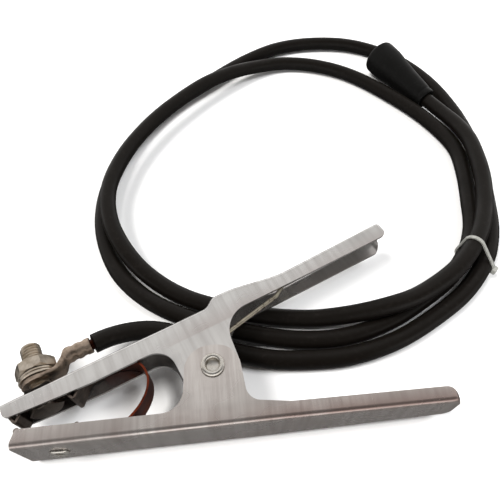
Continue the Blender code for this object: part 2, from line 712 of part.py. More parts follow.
def make_plug_boot():
    end = BOOT_LENGTH / MM
    wall = [(6.0, 0.0), (7.2, 0.0), (7.9, 1.0), (8.1, 4.0), (10.4, 28.0), (11.6, 36.0),
            (12.6, 42.0), (13.0, 46.0), (13.0, end - 2.0), (12.2, end - 0.5), (11.0, end),
            (8.6, end), (8.4, 44.0), (6.8, 43.0), (6.8, 15.0), (6.0, 13.0)]
    turned_solid("plug_boot", in_mm(wall), BOOT_REAR, BOOT_AXIS, boot_rubber(), sides=28)


def make_plug_pin():
    """A turned brass pin, bored for the conductor, and the screw that clamps it."""
    tip = BOOT_LENGTH / MM - 1.5
    profile = [(0.0, 15.6), (6.0, 15.6), (6.5, 16.2), (6.5, 42.0), (5.4, 42.7), (4.6, 43.2),
               (4.6, tip - 1.2), (3.6, tip), (0.0, tip)]
    pin = turned_solid("plug_pin", in_mm(profile), BOOT_REAR, BOOT_AXIS, brass())
    bore = rod("pin_bore", CONDUCTOR_R + GAP, BOOT_REAR + BOOT_AXIS * 14 * MM,
               BOOT_REAR + BOOT_AXIS * (CONDUCTOR_IN_BOOT + MM), sides=28)
    boolean(pin, bore, "DIFFERENCE")
    side = BOOT_AXIS.cross(Vector((0, 0, 1))).normalized()
    middle = BOOT_REAR + BOOT_AXIS * SCREW_IN_BOOT
    screw_hole = rod("pin_screw_hole", SCREW_R + GAP, middle + side * 1.5 * MM,
                     middle + side * 8 * MM, sides=20)
    boolean(pin, screw_hole, "DIFFERENCE")
    inner, outer = SCREW_SPAN
    rod("plug_screw", SCREW_R, middle + side * inner, middle + side * outer, dark_steel())


def tie_centres():
    """Where the tied passes cross the tie's plane, as (across, height)."""
    points = cable_points()
    centres = []
    for a, b in zip(points, points[1:]):
        da, db = (a - TIE_FOOT).dot(TIE_ALONG), (b - TIE_FOOT).dot(TIE_ALONG)
        if da * db <= 0.0 and da != db and (a.lerp(b, 0.5) - TIE_FOOT).length < TIE_REACH:
            hit = a.lerp(b, da / (da - db))
            centres.append(Vector(((hit - TIE_FOOT).dot(TIE_ACROSS), hit.z)))
    return centres


def make_cable_tie():
    """A nylon band pulled round the three passes on the right of the coil."""
    centres = tie_centres()
    clear = CABLE_R + TIE_CLEARANCE
    corners = [(clear, -TIE_HALF_WIDTH), (clear, TIE_HALF_WIDTH),
               (clear + TIE_THICKNESS, TIE_HALF_WIDTH), (clear + TIE_THICKNESS, -TIE_HALF_WIDTH)]
    steps = 48
    bm = bmesh.new()
    rings = []
    for radius, shift in corners:
        ring = []
        for k in range(steps):
            angle = math.tau * k / steps
            ray = Vector((math.cos(angle), math.sin(angle)))
            point = max(centres, key=lambda c: c.dot(ray)) + ray * radius
            ring.append(bm.verts.new(TIE_FOOT + TIE_ACROSS * point.x + TIE_ALONG * shift
                                     + Vector((0, 0, point.y))))
        rings.append(ring)
    bridge_rings(bm, rings, closed=True)
    tie = add_mesh("cable_tie", bm, nylon())
    far = max(centres, key=lambda c: c.x)
    grip = TIE_FOOT + TIE_ACROSS * (far.x + clear + 1.6 * MM) + Vector((0, 0, far.y))
    turn = Matrix((TIE_ACROSS, TIE_ALONG, (0, 0, 1))).transposed().to_4x4()
    bm = bmesh.new()
    bmesh.ops.create_cube(bm, size=1.0)
    bm.transform(Matrix.Translation(grip) @ turn @ Matrix.Diagonal((*TIE_HEAD, 1.0)))
    boolean(tie, add_mesh("tie_head", bm, None), "UNION")


def main():
    for old in list(bpy.data.objects):
        bpy.data.objects.remove(old, do_unlink=True)
    make_upper_arm()
    make_lower_arm()
    make_pivot_rivet()
    make_pivot_spacer()
    make_pivot_bush()
    make_torsion_spring()
    make_upper_contact()
    make_lower_contact()
    make_copper_strap()
    make_strap_rivet()
    make_jaw_bolt()
    make_nut("lock_nut", LOCK_NUT_V, dark_steel())
    make_nut("terminal_nut", NUT_V, zinc_hardware())
    make_washer("flat_washer", FLAT_WASHER_R, FLAT_WASHER_V, zinc_hardware())
    make_washer("spring_washer", SPRING_WASHER_R, SPRING_WASHER_V, zinc_hardware())
    make_cable_lug()
    make_cable()
    make_plug_boot()
    make_plug_pin()
    make_cable_tie()


main()
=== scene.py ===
"""Looks for the ground clamp: its pressed arms, terminal, strap, coiled cable and plug.

Shapes are drawn about the pivot in millimetres, as the design was: X along the lower
arm, Y towards the upper arm and Z up the pivot. The upper arm's own pieces use a frame
that is turned by REST_ANGLE about the pivot. Each mesh is then carried to its place.
"""

import json
import math

import bmesh
import bpy
from mathutils import Matrix, Vector


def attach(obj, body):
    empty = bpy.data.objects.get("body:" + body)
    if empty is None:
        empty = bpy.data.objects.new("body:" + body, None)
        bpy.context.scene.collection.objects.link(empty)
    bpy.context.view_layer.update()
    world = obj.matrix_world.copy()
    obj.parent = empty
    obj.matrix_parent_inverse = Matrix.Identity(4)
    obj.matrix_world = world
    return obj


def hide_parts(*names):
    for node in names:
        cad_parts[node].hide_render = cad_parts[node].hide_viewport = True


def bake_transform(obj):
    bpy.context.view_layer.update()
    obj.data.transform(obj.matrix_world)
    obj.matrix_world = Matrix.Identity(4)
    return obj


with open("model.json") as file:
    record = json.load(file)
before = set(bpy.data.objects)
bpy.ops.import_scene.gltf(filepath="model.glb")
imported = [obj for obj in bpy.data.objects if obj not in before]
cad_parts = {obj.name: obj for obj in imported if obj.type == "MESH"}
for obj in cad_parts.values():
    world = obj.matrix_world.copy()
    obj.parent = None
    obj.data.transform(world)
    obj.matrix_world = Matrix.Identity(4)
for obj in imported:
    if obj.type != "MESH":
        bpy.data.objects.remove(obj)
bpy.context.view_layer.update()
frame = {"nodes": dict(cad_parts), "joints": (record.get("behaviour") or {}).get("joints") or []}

MM = 0.001
GAP = 0.3
PIVOT = Vector(frame["joints"][0]["pos_m"]) * Vector((1, 1, 0))
REST_ANGLE = math.radians(22.4)
UPPER, LOWER = "upper_jaw", "lower_jaw"

# Arms
SHEET = 1.5
BEND = 2.6
LOWER_WEB_Y = -27.6
LOWER_BOTTOM = 2.0
LOWER_WIDTH = 29.5
LOWER_END_WIDTH = 23.0
LOWER_TAPER_X = 30.0
LOWER_END = 112.3
LOWER_CORNER_R = 4.0
UPPER_WEB_V = 30.0
UPPER_BOTTOM = 10.7
UPPER_WIDTH = 19.0
UPPER_END = 121.8
UPPER_CORNER_R = 3.5
HUMP = 4.2
HUMP_RISE = (9.0, 17.0)
HUMP_FALL = (22.0, 56.0)
HANDLE_U = 58.0
HANDLE_SPREAD = 2.6
CUT_EDGE = 0.34
LOWER_MID = LOWER_BOTTOM + LOWER_WIDTH / 2
UPPER_MID = UPPER_BOTTOM + UPPER_WIDTH / 2

# Pivot and spring
RIVET_R = 4.0
HOLE_R = RIVET_R + GAP
SPRING_R = 10.4
WIRE_R = 1.1
SPRING_TURNS = 5
SPRING_LOW = 14.0
SPRING_HIGH = 26.4
LEG_TILT = math.radians(11.1)
LEG_LENGTH = 49.0
FOOT_SLOPE = math.radians(32.0)
FOOT_LENGTH = 6.0

# Terminal stack
BOLT_U = -75.9
BOLT_R = 4.9
BOLT_HOLE_R = BOLT_R + GAP
THREAD_PITCH = 1.5
THREAD_DEPTH = 0.85
HEAD_AF = 14.0
HEAD_HEIGHT = 4.6
NUT_AF = 17.0
PALM_R = 8.2
FLAT_WASHER_R = 9.0
SPRING_WASHER_R = 8.4
BOLT_TIP_V = 56.9
LOCK_NUT_V = (30.3, 34.6)
PALM_V = (34.9, 37.1)
FLAT_WASHER_V = (37.4, 38.6)
SPRING_WASHER_V = (38.9, 40.4)
NUT_V = (40.7, 46.6)
STRAP_RIVET_X = -71.5
STRAP_RIVET_R = 3.0
STRAP_HOLE_R = STRAP_RIVET_R + GAP
WEB_NORMAL = (0.0, 1.0, 0.0)

# Contacts and strap
STRAP_T = 1.0
CONTACT_T = 1.2
CONTACT_WIDTH = 14.6
LOWER_CONTACT_WIDTH = 23.0
STRAP_WIDTH = 14.2

# Cable and plug
CABLE_R = 5.1
LUG_R = 4.2
LUG_START = Vector((-60.4, 43.4, 19.6))
LUG_END = Vector((-48.6, 44.7, 16.9))
LUG_AXIS = (LUG_END - LUG_START).normalized()
LUG_BORE_R = 3.1
LUG_TO_JACKET = 1.4
BOOT_REAR = Vector((178.0, 206.0, 8.6))
BOOT_FRONT = Vector((152.1, 258.8, 14.4))
BOOT_AXIS = (BOOT_FRONT - BOOT_REAR).normalized()
BOOT_LENGTH = (BOOT_FRONT - BOOT_REAR).length
JACKET_IN_BOOT = 12.0

# Tie: its plane stands on TIE_FOOT, square to TIE_ALONG
TIE_FOOT = Vector((159.5, 59.5, 0.0))
TIE_ALONG = Vector((0.72, 0.69, 0.0)).normalized()
TIE_ACROSS = Vector((TIE_ALONG.y, -TIE_ALONG.x, 0.0))
TIE_SEARCH_R = 45.0
TIE_HALF_WIDTH = 1.0
TIE_T = 1.0
TIE_SLACK = 0.12
TIE_HEAD = (2.7, 4.2, 4.0)

# Camera, light and floor
LENS = 32.9
CAMERA_PLACE = (9.3, -77.2, 238.0)
CAMERA_DOWN = 55.7
CAMERA_TURN = -6.08
LIGHT_SPREAD = math.radians(26.0)
FLOOR_SIZE = 40.0

# The cable's centre line, from the lug to the plug, about the pivot. It lies in three
# passes below the upper arm and on the right, and in two over the top of the coil.
CABLE_ROUTE = [
    (-54.5, 26.8, 15.0), (-44.5, 30.3, 12.0), (-34.0, 31.8, 8.9), (-23.0, 30.2, 6.2),
    (-12.0, 26.0, 5.2), (0.0, 20.4, 5.2), (13.0, 14.9, 5.2), (32.0, 9.5, 5.2),
    (52.0, 7.3, 5.2), (73.0, 7.4, 5.2), (99.0, 13.2, 5.2), (126.0, 25.4, 5.3),
    (147.5, 38.6, 6.1), (166.5, 57.5, 6.8), (178.5, 78.0, 6.1), (187.0, 104.0, 5.2),
    (194.0, 134.0, 5.2), (197.5, 165.0, 5.2), (196.0, 198.0, 5.2), (187.2, 235.0, 5.2),
    (167.5, 268.0, 5.2), (138.0, 289.5, 5.2), (105.0, 296.0, 5.2), (73.0, 292.0, 5.2),
    (44.0, 277.0, 5.2), (12.0, 252.0, 5.2), (-25.0, 219.0, 5.2), (-50.0, 182.0, 5.2),
    (-62.5, 148.0, 5.2), (-66.0, 120.0, 5.2), (-62.5, 95.0, 5.2), (-52.0, 70.5, 5.2),
    (-36.5, 53.2, 5.2), (-17.5, 40.6, 5.2), (4.0, 31.2, 5.2), (30.0, 22.6, 5.2),
    (50.0, 18.6, 5.2), (72.0, 18.2, 5.2), (97.0, 24.4, 5.2), (121.0, 35.8, 5.5),
    (142.0, 48.9, 6.4), (157.5, 64.9, 6.8), (167.8, 82.6, 6.1), (174.8, 104.2, 5.2),
    (181.5, 132.0, 5.2), (183.5, 156.0, 5.2), (174.0, 185.0, 5.2), (157.0, 213.0, 5.2),
    (127.0, 248.0, 5.2), (101.0, 263.5, 5.2), (75.0, 269.0, 5.5), (51.0, 263.0, 8.0),
    (31.0, 252.5, 11.8), (10.0, 237.6, 14.8), (-13.0, 216.6, 15.6), (-35.0, 191.0, 15.8),
    (-52.5, 160.0, 15.9), (-60.5, 130.0, 15.9), (-58.5, 106.5, 14.9), (-51.0, 88.0, 12.4),
    (-41.0, 73.4, 8.6), (-29.0, 62.0, 5.8), (-14.2, 51.6, 5.2), (6.0, 42.4, 5.2),
    (28.0, 35.4, 5.3), (54.0, 30.8, 5.5), (70.0, 29.6, 7.8), (84.0, 28.8, 12.0),
    (98.0, 29.6, 15.2), (112.0, 32.6, 16.0), (127.0, 39.2, 16.5), (141.0, 47.6, 17.2),
    (153.5, 58.6, 17.7), (164.5, 71.5, 17.4), (173.0, 86.0, 16.7), (180.0, 102.0, 16.0),
    (185.0, 118.0, 15.7), (188.4, 136.0, 15.3), (190.2, 154.0, 14.4), (188.6, 172.0, 12.2),
    (184.8, 189.0, 9.2),
]


# Frames

def stand(obj, turned=False):
    """Carry a mesh or curve drawn in millimetres about the pivot to its place."""
    angle = REST_ANGLE if turned else 0.0
    place = Matrix.Translation(PIVOT) @ Matrix.Rotation(angle, 4, "Z") @ Matrix.Scale(MM, 4)
    obj.data.transform(place)
    return obj


def to_row(point):
    """A point about the pivot, in millimetres, as row coordinates in metres."""
    return PIVOT + Vector(point) * MM


def on_bolt(v):
    """A place on the bolt's axis, in the upper arm's frame."""
    return Vector((BOLT_U, v, UPPER_MID))


def on_strap_rivet(y):
    """A place on the strap rivet's axis."""
    return Vector((STRAP_RIVET_X, y, LOWER_MID))


# Mesh building

def link(name, mesh):
    obj = bpy.data.objects.new(name, mesh)
    bpy.context.scene.collection.objects.link(obj)
    return obj


def new_mesh(name, bm, sharp=35.0, recalculate=True):
    if recalculate:
        bmesh.ops.recalc_face_normals(bm, faces=bm.faces)
    mesh = bpy.data.meshes.new(name)
    bm.to_mesh(mesh)
    bm.free()
    mesh.shade_smooth()
    mesh.set_sharp_from_angle(angle=math.radians(sharp))
    return link(name, mesh)


def boolean(target, tool, operation):
    step = target.modifiers.new(operation.lower(), "BOOLEAN")
    step.operation = operation
    step.solver = "EXACT"
    step.object = tool


def cut(target, tool):
    boolean(target, tool, "DIFFERENCE")


def settle(obj, sharp=35.0):
    """Apply an object's modifiers, and drop the tools that they used."""
    tools = [m.object for m in obj.modifiers if m.type == "BOOLEAN"]
    bpy.context.view_layer.update()
    seen = obj.evaluated_get(bpy.context.evaluated_depsgraph_get())
    mesh = bpy.data.meshes.new_from_object(seen)
    obj.modifiers.clear()
    obj.data = mesh
    mesh.shade_smooth()
    mesh.set_sharp_from_angle(angle=math.radians(sharp))
    for tool in tools:
        bpy.data.objects.remove(tool)
    return obj


def soften(obj, width, segments, angle=40.0):
    """Round an object's sharp edges."""
    step = obj.modifiers.new("soften", "BEVEL")
    step.width = width
    step.segments = segments
    step.limit_method = "ANGLE"
    step.angle_limit = math.radians(angle)
    step.use_clamp_overlap = True
    return obj


def flatten(obj):
    """Keep flat faces flat beside their rounded edges."""
    step = obj.modifiers.new("flatten", "WEIGHTED_NORMAL")
    step.keep_sharp = True
    step.weight = 100
    return obj


def dress(obj, body, finish, slot, *nodes):
    """Give a finished piece its material and body, and hide the CAD nodes it stands for. The slot
    is not used.
    """
    if obj.type == "MESH":
        flatten(obj)
    obj.data.materials.clear()
    obj.data.materials.append(finish)
    if body:
        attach(obj, body)
    if nodes:
        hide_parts(*nodes)
    return obj


def axis_matrix(start, direction):
    """A frame at the start whose Z runs in the direction."""
    turn = Vector((0.0, 0.0, 1.0)).rotation_difference(Vector(direction))
    return Matrix.Translation(start) @ turn.to_matrix().to_4x4()


def rounded(corners, steps):
    """A path through corners (x, y, radius), with each corner turned into an arc."""
    path = []
    last = len(corners) - 1
    for i, (x, y, radius) in enumerate(corners):
        here = Vector((x, y))
        if radius == 0.0 or i in (0, last):
            path.append(here)
            continue
        back = (Vector(corners[i - 1][:2]) - here).normalized()
        ahead = (Vector(corners[i + 1][:2]) - here).normalized()
        half = back.angle(ahead) / 2
        centre = here + (back + ahead).normalized() * radius / math.sin(half)
        first = here + back * radius / math.tan(half) - centre
        turn = first.angle_signed(here + ahead * radius / math.tan(half) - centre)
        for k in range(steps + 1):
            path.append(centre + Matrix.Rotation(-turn * k / steps, 2) @ first)
    return path


def bridge_rings(bm, rings, closed=False, capped=False):
    """Walls between rings of equal length, and flat ends if they are capped."""
    pairs = list(zip(rings, rings[1:]))
    if closed:
        pairs.append((rings[-1], rings[0]))
    for a, b in pairs:
        for k in range(len(a)):
            n = (k + 1) % len(a)
            bm.faces.new((a[k], a[n], b[n], b[k]))
    if capped:
        bm.faces.new(rings[0])
        bm.faces.new(rings[-1])


def lathe(name, profile, start, direction, sides=64, sharp=35.0):
    """A profile of (radius, height) spun round an axis; radius 0 closes an end."""
    bm = bmesh.new()
    rings = []
    for radius, height in profile:
        if radius == 0.0:
            rings.append([bm.verts.new((0.0, 0.0, height))])
            continue
        rings.append([bm.verts.new((radius * math.cos(math.tau * k / sides),
                                    radius * math.sin(math.tau * k / sides), height))
                      for k in range(sides)])
    pairs = list(zip(rings, rings[1:]))
    if profile[0][0] != 0.0:
        pairs.append((rings[-1], rings[0]))
    for lower, upper in pairs:
        for k in range(sides):
            n = (k + 1) % sides
            if len(lower) == 1:
                bm.faces.new((lower[0], upper[k], upper[n]))
            elif len(upper) == 1:
                bm.faces.new((lower[k], lower[n], upper[0]))
            else:
                bm.faces.new((lower[k], lower[n], upper[n], upper[k]))
    bm.transform(axis_matrix(start, direction))
    return new_mesh(name, bm, sharp)


def rod(name, radius, start, end, sides=64):
    length = (end - start).length
    profile = [(0.0, 0.0), (radius, 0.0), (radius, length), (0.0, length)]
    return lathe(name, profile, start, end - start, sides)


def bolt_hole(low, high):
    return rod("bolt_hole", BOLT_HOLE_R, on_bolt(low), on_bolt(high))


def strap_rivet_hole(low, high):
    return rod("strap_rivet_hole", STRAP_HOLE_R, on_strap_rivet(low), on_strap_rivet(high), 40)


def strip(name, path, thickness, low, high):
    """A flat strip that follows a path in plan and stands from low to high."""
    sharpest = 0.35
    left, right = [], []
    for i, point in enumerate(path):
        back = (point - path[i - 1]).normalized() if i else None
        ahead = (path[i + 1] - point).normalized() if i + 1 < len(path) else None
        back, ahead = back or ahead, ahead or back
        along = (back + ahead).normalized()
        normal = Vector((-along.y, along.x))
        reach = thickness / 2 / max(sharpest, along.dot(ahead))
        left.append(point + normal * reach)
        right.append(point - normal * reach)
    bm = bmesh.new()
    rings = [[bm.verts.new((*a, low)), bm.verts.new((*a, high)),
              bm.verts.new((*b, high)), bm.verts.new((*b, low))]
             for a, b in zip(left, right)]
    bridge_rings(bm, rings, capped=True)
    return new_mesh(name, bm, 30.0)


def sweep(name, points, radius):
    """A round bar along a path, with flat ends."""
    sides = 16
    bm = bmesh.new()
    along = (points[1] - points[0]).normalized()
    side = along.orthogonal().normalized()
    rings = []
    count = len(points)
    for i, point in enumerate(points):
        ahead = points[min(i + 1, count - 1)] - points[max(i - 1, 0)]
        turn = along.rotation_difference(ahead.normalized())
        along = ahead.normalized()
        side = (turn @ side).normalized()
        up = along.cross(side)
        rings.append([bm.verts.new(point + (side * math.cos(math.tau * k / sides)
                                            + up * math.sin(math.tau * k / sides)) * radius)
                      for k in range(sides)])
    bridge_rings(bm, rings, capped=True)
    return new_mesh(name, bm, 60.0)


def smooth_path(points, spacing):
    """Evenly spaced points on a centripetal Catmull-Rom curve through the given ones."""
    ends = [2 * points[0] - points[1]] + list(points) + [2 * points[-1] - points[-2]]
    parts = 24
    dense = []
    for p0, p1, p2, p3 in zip(ends, ends[1:], ends[2:], ends[3:]):
        t1 = (p1 - p0).length ** 0.5
        t2 = t1 + (p2 - p1).length ** 0.5
        t3 = t2 + (p3 - p2).length ** 0.5
        for k in range(parts):
            t = t1 + (t2 - t1) * k / parts
            a1 = p0.lerp(p1, t / t1)
            a2 = p1.lerp(p2, (t - t1) / (t2 - t1))
            a3 = p2.lerp(p3, (t - t2) / (t3 - t2))
            dense.append(a1.lerp(a2, t / t2).lerp(a2.lerp(a3, (t - t1) / (t3 - t1)),
                                                  (t - t1) / (t2 - t1)))
    dense.append(points[-1].copy())
    total = sum((b - a).length for a, b in zip(dense, dense[1:]))
    count = round(total / spacing)
    even, done, target = [dense[0]], 0.0, total / count
    for a, b in zip(dense, dense[1:]):
        step = (b - a).length
        while done + step >= target and len(even) < count:
            even.append(a.lerp(b, (target - done) / step))
            target += total / count
        done += step
    even.append(dense[-1])
    return even


# Materials

def fill_ramp(node, stops):
    """Give a colour ramp its colours, each at a place from 0 to 1."""
    elements = node.color_ramp.elements
    while len(elements) < len(stops):
        elements.new(0.5)
    for element, (place, color) in zip(elements, stops):
        element.position = place
        element.color = (*color, 1.0)


class Finish:
    """A Principled material under construction."""

    def __init__(self, name, color, roughness, metallic):
        self.material = bpy.data.materials.new(name)
        self.material.use_nodes = True
        self.nodes = self.material.node_tree.nodes
        self.links = self.material.node_tree.links
        self.shader = self.nodes["Principled BSDF"]
        self.shader.inputs["Base Color"].default_value = (*color, 1.0)
        self.shader.inputs["Roughness"].default_value = roughness
        self.shader.inputs["Metallic"].default_value = metallic
        self.bumps = None

    def noise(self, scale, stretch=(1, 1, 1), turn=0.0, detail=4.0, roughness=0.5):
        """Noise over the row frame, scale in features per metre."""
        place = self.nodes.new("ShaderNodeTexCoord")
        mapping = self.nodes.new("ShaderNodeMapping")
        mapping.vector_type = "TEXTURE"
        mapping.inputs["Rotation"].default_value = (0.0, 0.0, turn)
        mapping.inputs["Scale"].default_value = stretch
        texture = self.nodes.new("ShaderNodeTexNoise")
        texture.inputs["Scale"].default_value = scale
        texture.inputs["Detail"].default_value = detail
        texture.inputs["Roughness"].default_value = roughness
        self.links.new(place.outputs["Object"], mapping.inputs["Vector"])
        self.links.new(mapping.outputs["Vector"], texture.inputs["Vector"])
        return texture.outputs["Fac"]

    def ramp(self, value, stops):
        """Colours at places from 0 to 1 along a value."""
        node = self.nodes.new("ShaderNodeValToRGB")
        fill_ramp(node, stops)
        self.links.new(value, node.inputs["Fac"])
        return node.outputs["Color"]

    def mix(self, amount, first, second):
        """The first colour, turning into the second as the amount goes from 0 to 1."""
        node = self.nodes.new("ShaderNodeMix")
        node.data_type = "RGBA"
        self.links.new(amount, node.inputs["Factor"])
        for socket, value in ((node.inputs["A"], first), (node.inputs["B"], second)):
            if isinstance(value, tuple):
                socket.default_value = (*value, 1.0)
            else:
                self.links.new(value, socket)
        return node.outputs["Result"]

    def span(self, value, low, high, start=0.0, end=1.0):
        """A value moved from start..end to low..high."""
        node = self.nodes.new("ShaderNodeMapRange")
        node.inputs["From Min"].default_value = start
        node.inputs["From Max"].default_value = end
        node.inputs["To Min"].default_value = low
        node.inputs["To Max"].default_value = high
        self.links.new(value, node.inputs["Value"])
        return node.outputs["Result"]

    def height(self, turn):
        """Distance in the row frame along the direction that is turned from Y."""
        place = self.nodes.new("ShaderNodeTexCoord")
        dot = self.nodes.new("ShaderNodeVectorMath")
        dot.operation = "DOT_PRODUCT"
        dot.inputs[1].default_value = (-math.sin(turn), math.cos(turn), 0.0)
        self.links.new(place.outputs["Object"], dot.inputs[0])
        return dot.outputs["Value"]

    def times(self, first, second):
        node = self.nodes.new("ShaderNodeMath")
        node.operation = "MULTIPLY"
        self.links.new(first, node.inputs[0])
        self.links.new(second, node.inputs[1])
        return node.outputs["Value"]

    def color(self, value):
        self.links.new(value, self.shader.inputs["Base Color"])

    def rough(self, value, low, high):
        """Roughness from low to high, as a noise value goes through its usual range."""
        self.links.new(self.span(value, low, high, 0.3, 0.7), self.shader.inputs["Roughness"])

    def bump(self, height, distance, strength):
        node = self.nodes.new("ShaderNodeBump")
        node.inputs["Distance"].default_value = distance
        node.inputs["Strength"].default_value = strength
        self.links.new(height, node.inputs["Height"])
        if self.bumps:
            self.links.new(self.bumps, node.inputs["Normal"])
        self.bumps = node.outputs["Normal"]
        self.links.new(self.bumps, self.shader.inputs["Normal"])


def plated_sheet(name, turn, light, dark, edge_band, edge):
    """Plated sheet, drawn across its length, with clouds, fine grain and a darker band along an
    edge.

    The band starts at the edge, a distance along the direction turned from Y, and fades
    within a few millimetres above it. Patches break it up. On the lower arm it lies along the
    web's bend and is painted reflection: the dark band that the bend mirrors, painted into the
    colour.
    """
    f = Finish(name, light, 0.25, 0.93)
    drawn = f.noise(330, (1.0, 14.0, 14.0), turn, 3.0, 0.55)
    clouds = f.noise(38, (1.6, 1.0, 1.0), turn, 3.0, 0.5)
    grain = f.noise(1700, turn=turn, detail=2.0)
    base = f.ramp(drawn, [(0.30, dark), (0.62, light)])
    darker = tuple(c * 0.8 for c in dark)
    clouded = f.mix(f.span(clouds, 0.0, 0.5, 0.48, 0.72), base, darker)
    patches = f.noise(16, (1.0, 3.0, 1.0), turn, 2.0)
    height = f.height(turn)
    fading = f.span(height, 1.0, 0.0, edge, edge + 0.009)
    starting = f.span(height, 0.2, 1.0, edge - 0.001, edge)
    amount = f.times(f.times(fading, starting), f.span(patches, 0.1, 1.0, 0.38, 0.56))
    # The edge band is mixed in here. On the lower arm it is painted reflection along the web's
    # bend.
    f.color(f.mix(amount, clouded, edge_band))
    f.rough(clouds, 0.16, 0.36)
    f.bump(drawn, 0.00010, 0.55)
    f.bump(clouds, 0.0012, 0.5)
    f.bump(grain, 0.00002, 0.4)
    return f.material


def hardware(name, light, dark, roughness):
    """Zinc-plated fastener steel, blotched and a little yellowed."""
    f = Finish(name, light, roughness, 1.0)
    blotch = f.noise(260, roughness=0.6)
    fine = f.noise(1900, detail=3.0)
    f.color(f.ramp(blotch, [(0.32, dark), (0.60, light)]))
    f.rough(blotch, roughness - 0.08, roughness + 0.14)
    f.bump(fine, 0.00004, 0.5)
    return f.material


def oxidised_copper(name, shade):
    """Bare copper gone brown, brighter where it has been rubbed."""
    f = Finish(name, (0.20, 0.042, 0.020), 0.34, 1.0)
    cloud = f.noise(90, detail=5.0, roughness=0.6)
    lines = f.noise(900, (30.0, 30.0, 1.0), detail=2.0)
    tones = [(0.28, (0.085, 0.016, 0.008)), (0.52, (0.23, 0.048, 0.022)),
             (0.74, (0.40, 0.11, 0.055))]
    f.color(f.ramp(cloud, [(place, tuple(c * shade for c in tone)) for place, tone in tones]))
    f.rough(cloud, 0.26, 0.46)
    f.bump(lines, 0.00005, 0.5)
    return f.material


def sheath_rubber(name, roughness, tint):
    """Extruded rubber: black, faintly brown, with a fine skin and some dust."""
    f = Finish(name, tint, roughness, 0.0)
    skin = f.noise(2600, detail=2.0)
    waves = f.noise(55, detail=3.0)
    dust = f.noise(420, detail=6.0, roughness=0.65)
    dusty = tuple(min(1.0, c * 2.1 + 0.004) for c in tint)
    f.color(f.mix(f.span(dust, 0.0, 0.8, 0.55, 0.8), tint, dusty))
    f.rough(waves, roughness - 0.09, roughness + 0.12)
    f.bump(skin, 0.00003, 0.5)
    f.bump(waves, 0.0005, 0.35)
    f.shader.inputs["Specular IOR Level"].default_value = 0.18
    return f.material


def natural_nylon():
    f = Finish("natural_nylon", (0.40, 0.40, 0.37), 0.35, 0.0)
    mottle = f.noise(500, detail=3.0)
    f.color(f.ramp(mottle, [(0.3, (0.24, 0.24, 0.22)), (0.7, (0.34, 0.34, 0.32))]))
    f.rough(mottle, 0.28, 0.42)
    f.bump(mottle, 0.00003, 0.4)
    f.shader.inputs["Subsurface Weight"].default_value = 0.15
    f.shader.inputs["Subsurface Radius"].default_value = (0.002, 0.002, 0.002)
    return f.material


def paper_floor():
    f = Finish("paper_floor", (0.93, 0.93, 0.93), 0.9, 0.0)
    fibre = f.noise(220)
    f.color(f.ramp(fibre, [(0.3, (0.925, 0.925, 0.925)), (0.7, (0.935, 0.935, 0.935))]))
    return f.material


# Camera and light

def set_camera():
    data = bpy.data.cameras.new("camera")
    data.lens = LENS
    data.sensor_width = 36.0
    data.clip_start = 0.01
    camera = link("camera", data)
    camera.location = to_row(CAMERA_PLACE)
    camera.rotation_euler = (math.radians(90.0 - CAMERA_DOWN), 0.0, math.radians(CAMERA_TURN))
    bpy.context.scene.camera = camera


def soft_light(name, direction, strength, color):
    """A wide, even light that keeps out of the reflections, which the room gives."""
    data = bpy.data.lights.new(name, "SUN")
    data.angle = LIGHT_SPREAD
    data.energy = strength
    data.color = color
    light = link(name, data)
    light.visible_glossy = False
    light.location = -Vector(direction)
    light.rotation_euler = Vector(direction).to_track_quat("-Z", "Y").to_euler()


def studio_world():
    """A room for the reflections, and a plain white backdrop for the camera.

    The room is bright behind and low in front, and dark overhead and below. Its bands lie
    along X: 0.25 is straight down, 0.5 behind, 0.75 straight up and 1 in front.
    """
    world = bpy.data.worlds.new("studio")
    world.use_nodes = True
    nodes, links = world.node_tree.nodes, world.node_tree.links
    ray = nodes.new("ShaderNodeTexCoord")
    split = nodes.new("ShaderNodeSeparateXYZ")
    around = nodes.new("ShaderNodeMath")
    around.operation = "ARCTAN2"
    turns = nodes.new("ShaderNodeMapRange")
    turns.inputs["From Min"].default_value = -math.pi
    turns.inputs["From Max"].default_value = math.pi
    ramp = nodes.new("ShaderNodeValToRGB")
    walls = [(0.00, 0.26), (0.08, 0.24), (0.19, 0.25), (0.27, 0.08), (0.41, 0.04), (0.455, 0.90),
             (0.50, 1.40), (0.535, 1.20), (0.575, 0.60), (0.65, 0.72), (0.695, 0.86), (0.74, 0.26),
             (0.82, 0.10), (0.89, 0.14), (0.93, 1.40), (0.98, 1.50)]
    fill_ramp(ramp, [(place, (v, v * 0.985, v * 0.97)) for place, v in walls])
    links.new(ray.outputs["Generated"], split.inputs["Vector"])
    links.new(split.outputs["Z"], around.inputs[0])
    links.new(split.outputs["Y"], around.inputs[1])
    links.new(around.outputs["Value"], turns.inputs["Value"])
    links.new(turns.outputs["Result"], ramp.inputs["Fac"])
    links.new(ramp.outputs["Color"], nodes["Background"].inputs["Color"])
    backdrop = nodes.new("ShaderNodeBackground")
    backdrop.inputs["Color"].default_value = (1.0, 1.0, 1.0, 1.0)
    path = nodes.new("ShaderNodeLightPath")
    choice = nodes.new("ShaderNodeMixShader")
    links.new(path.outputs["Is Camera Ray"], choice.inputs["Fac"])
    links.new(nodes["Background"].outputs["Background"], choice.inputs[1])
    links.new(backdrop.outputs["Background"], choice.inputs[2])
    links.new(choice.outputs["Shader"], nodes["World Output"].inputs["Surface"])
    bpy.context.scene.world = world


def set_light():
    view = bpy.context.scene.view_settings
    view.view_transform = "Standard"
    view.look = "None"
    studio_world()
    soft_light("key", (0.93, -0.05, -1.5), 3.1, (1.0, 0.985, 0.96))
    soft_light("fill", (-0.97, 0.0, -1.3), 2.1, (0.98, 0.99, 1.0))


def set_floor():
    bm = bmesh.new()
    bmesh.ops.create_grid(bm, x_segments=4, y_segments=4, size=FLOOR_SIZE)
    floor = new_mesh("floor", bm)
    floor.data.materials.append(paper_floor())
    floor.visible_glossy = False


# Cable, plug and tie

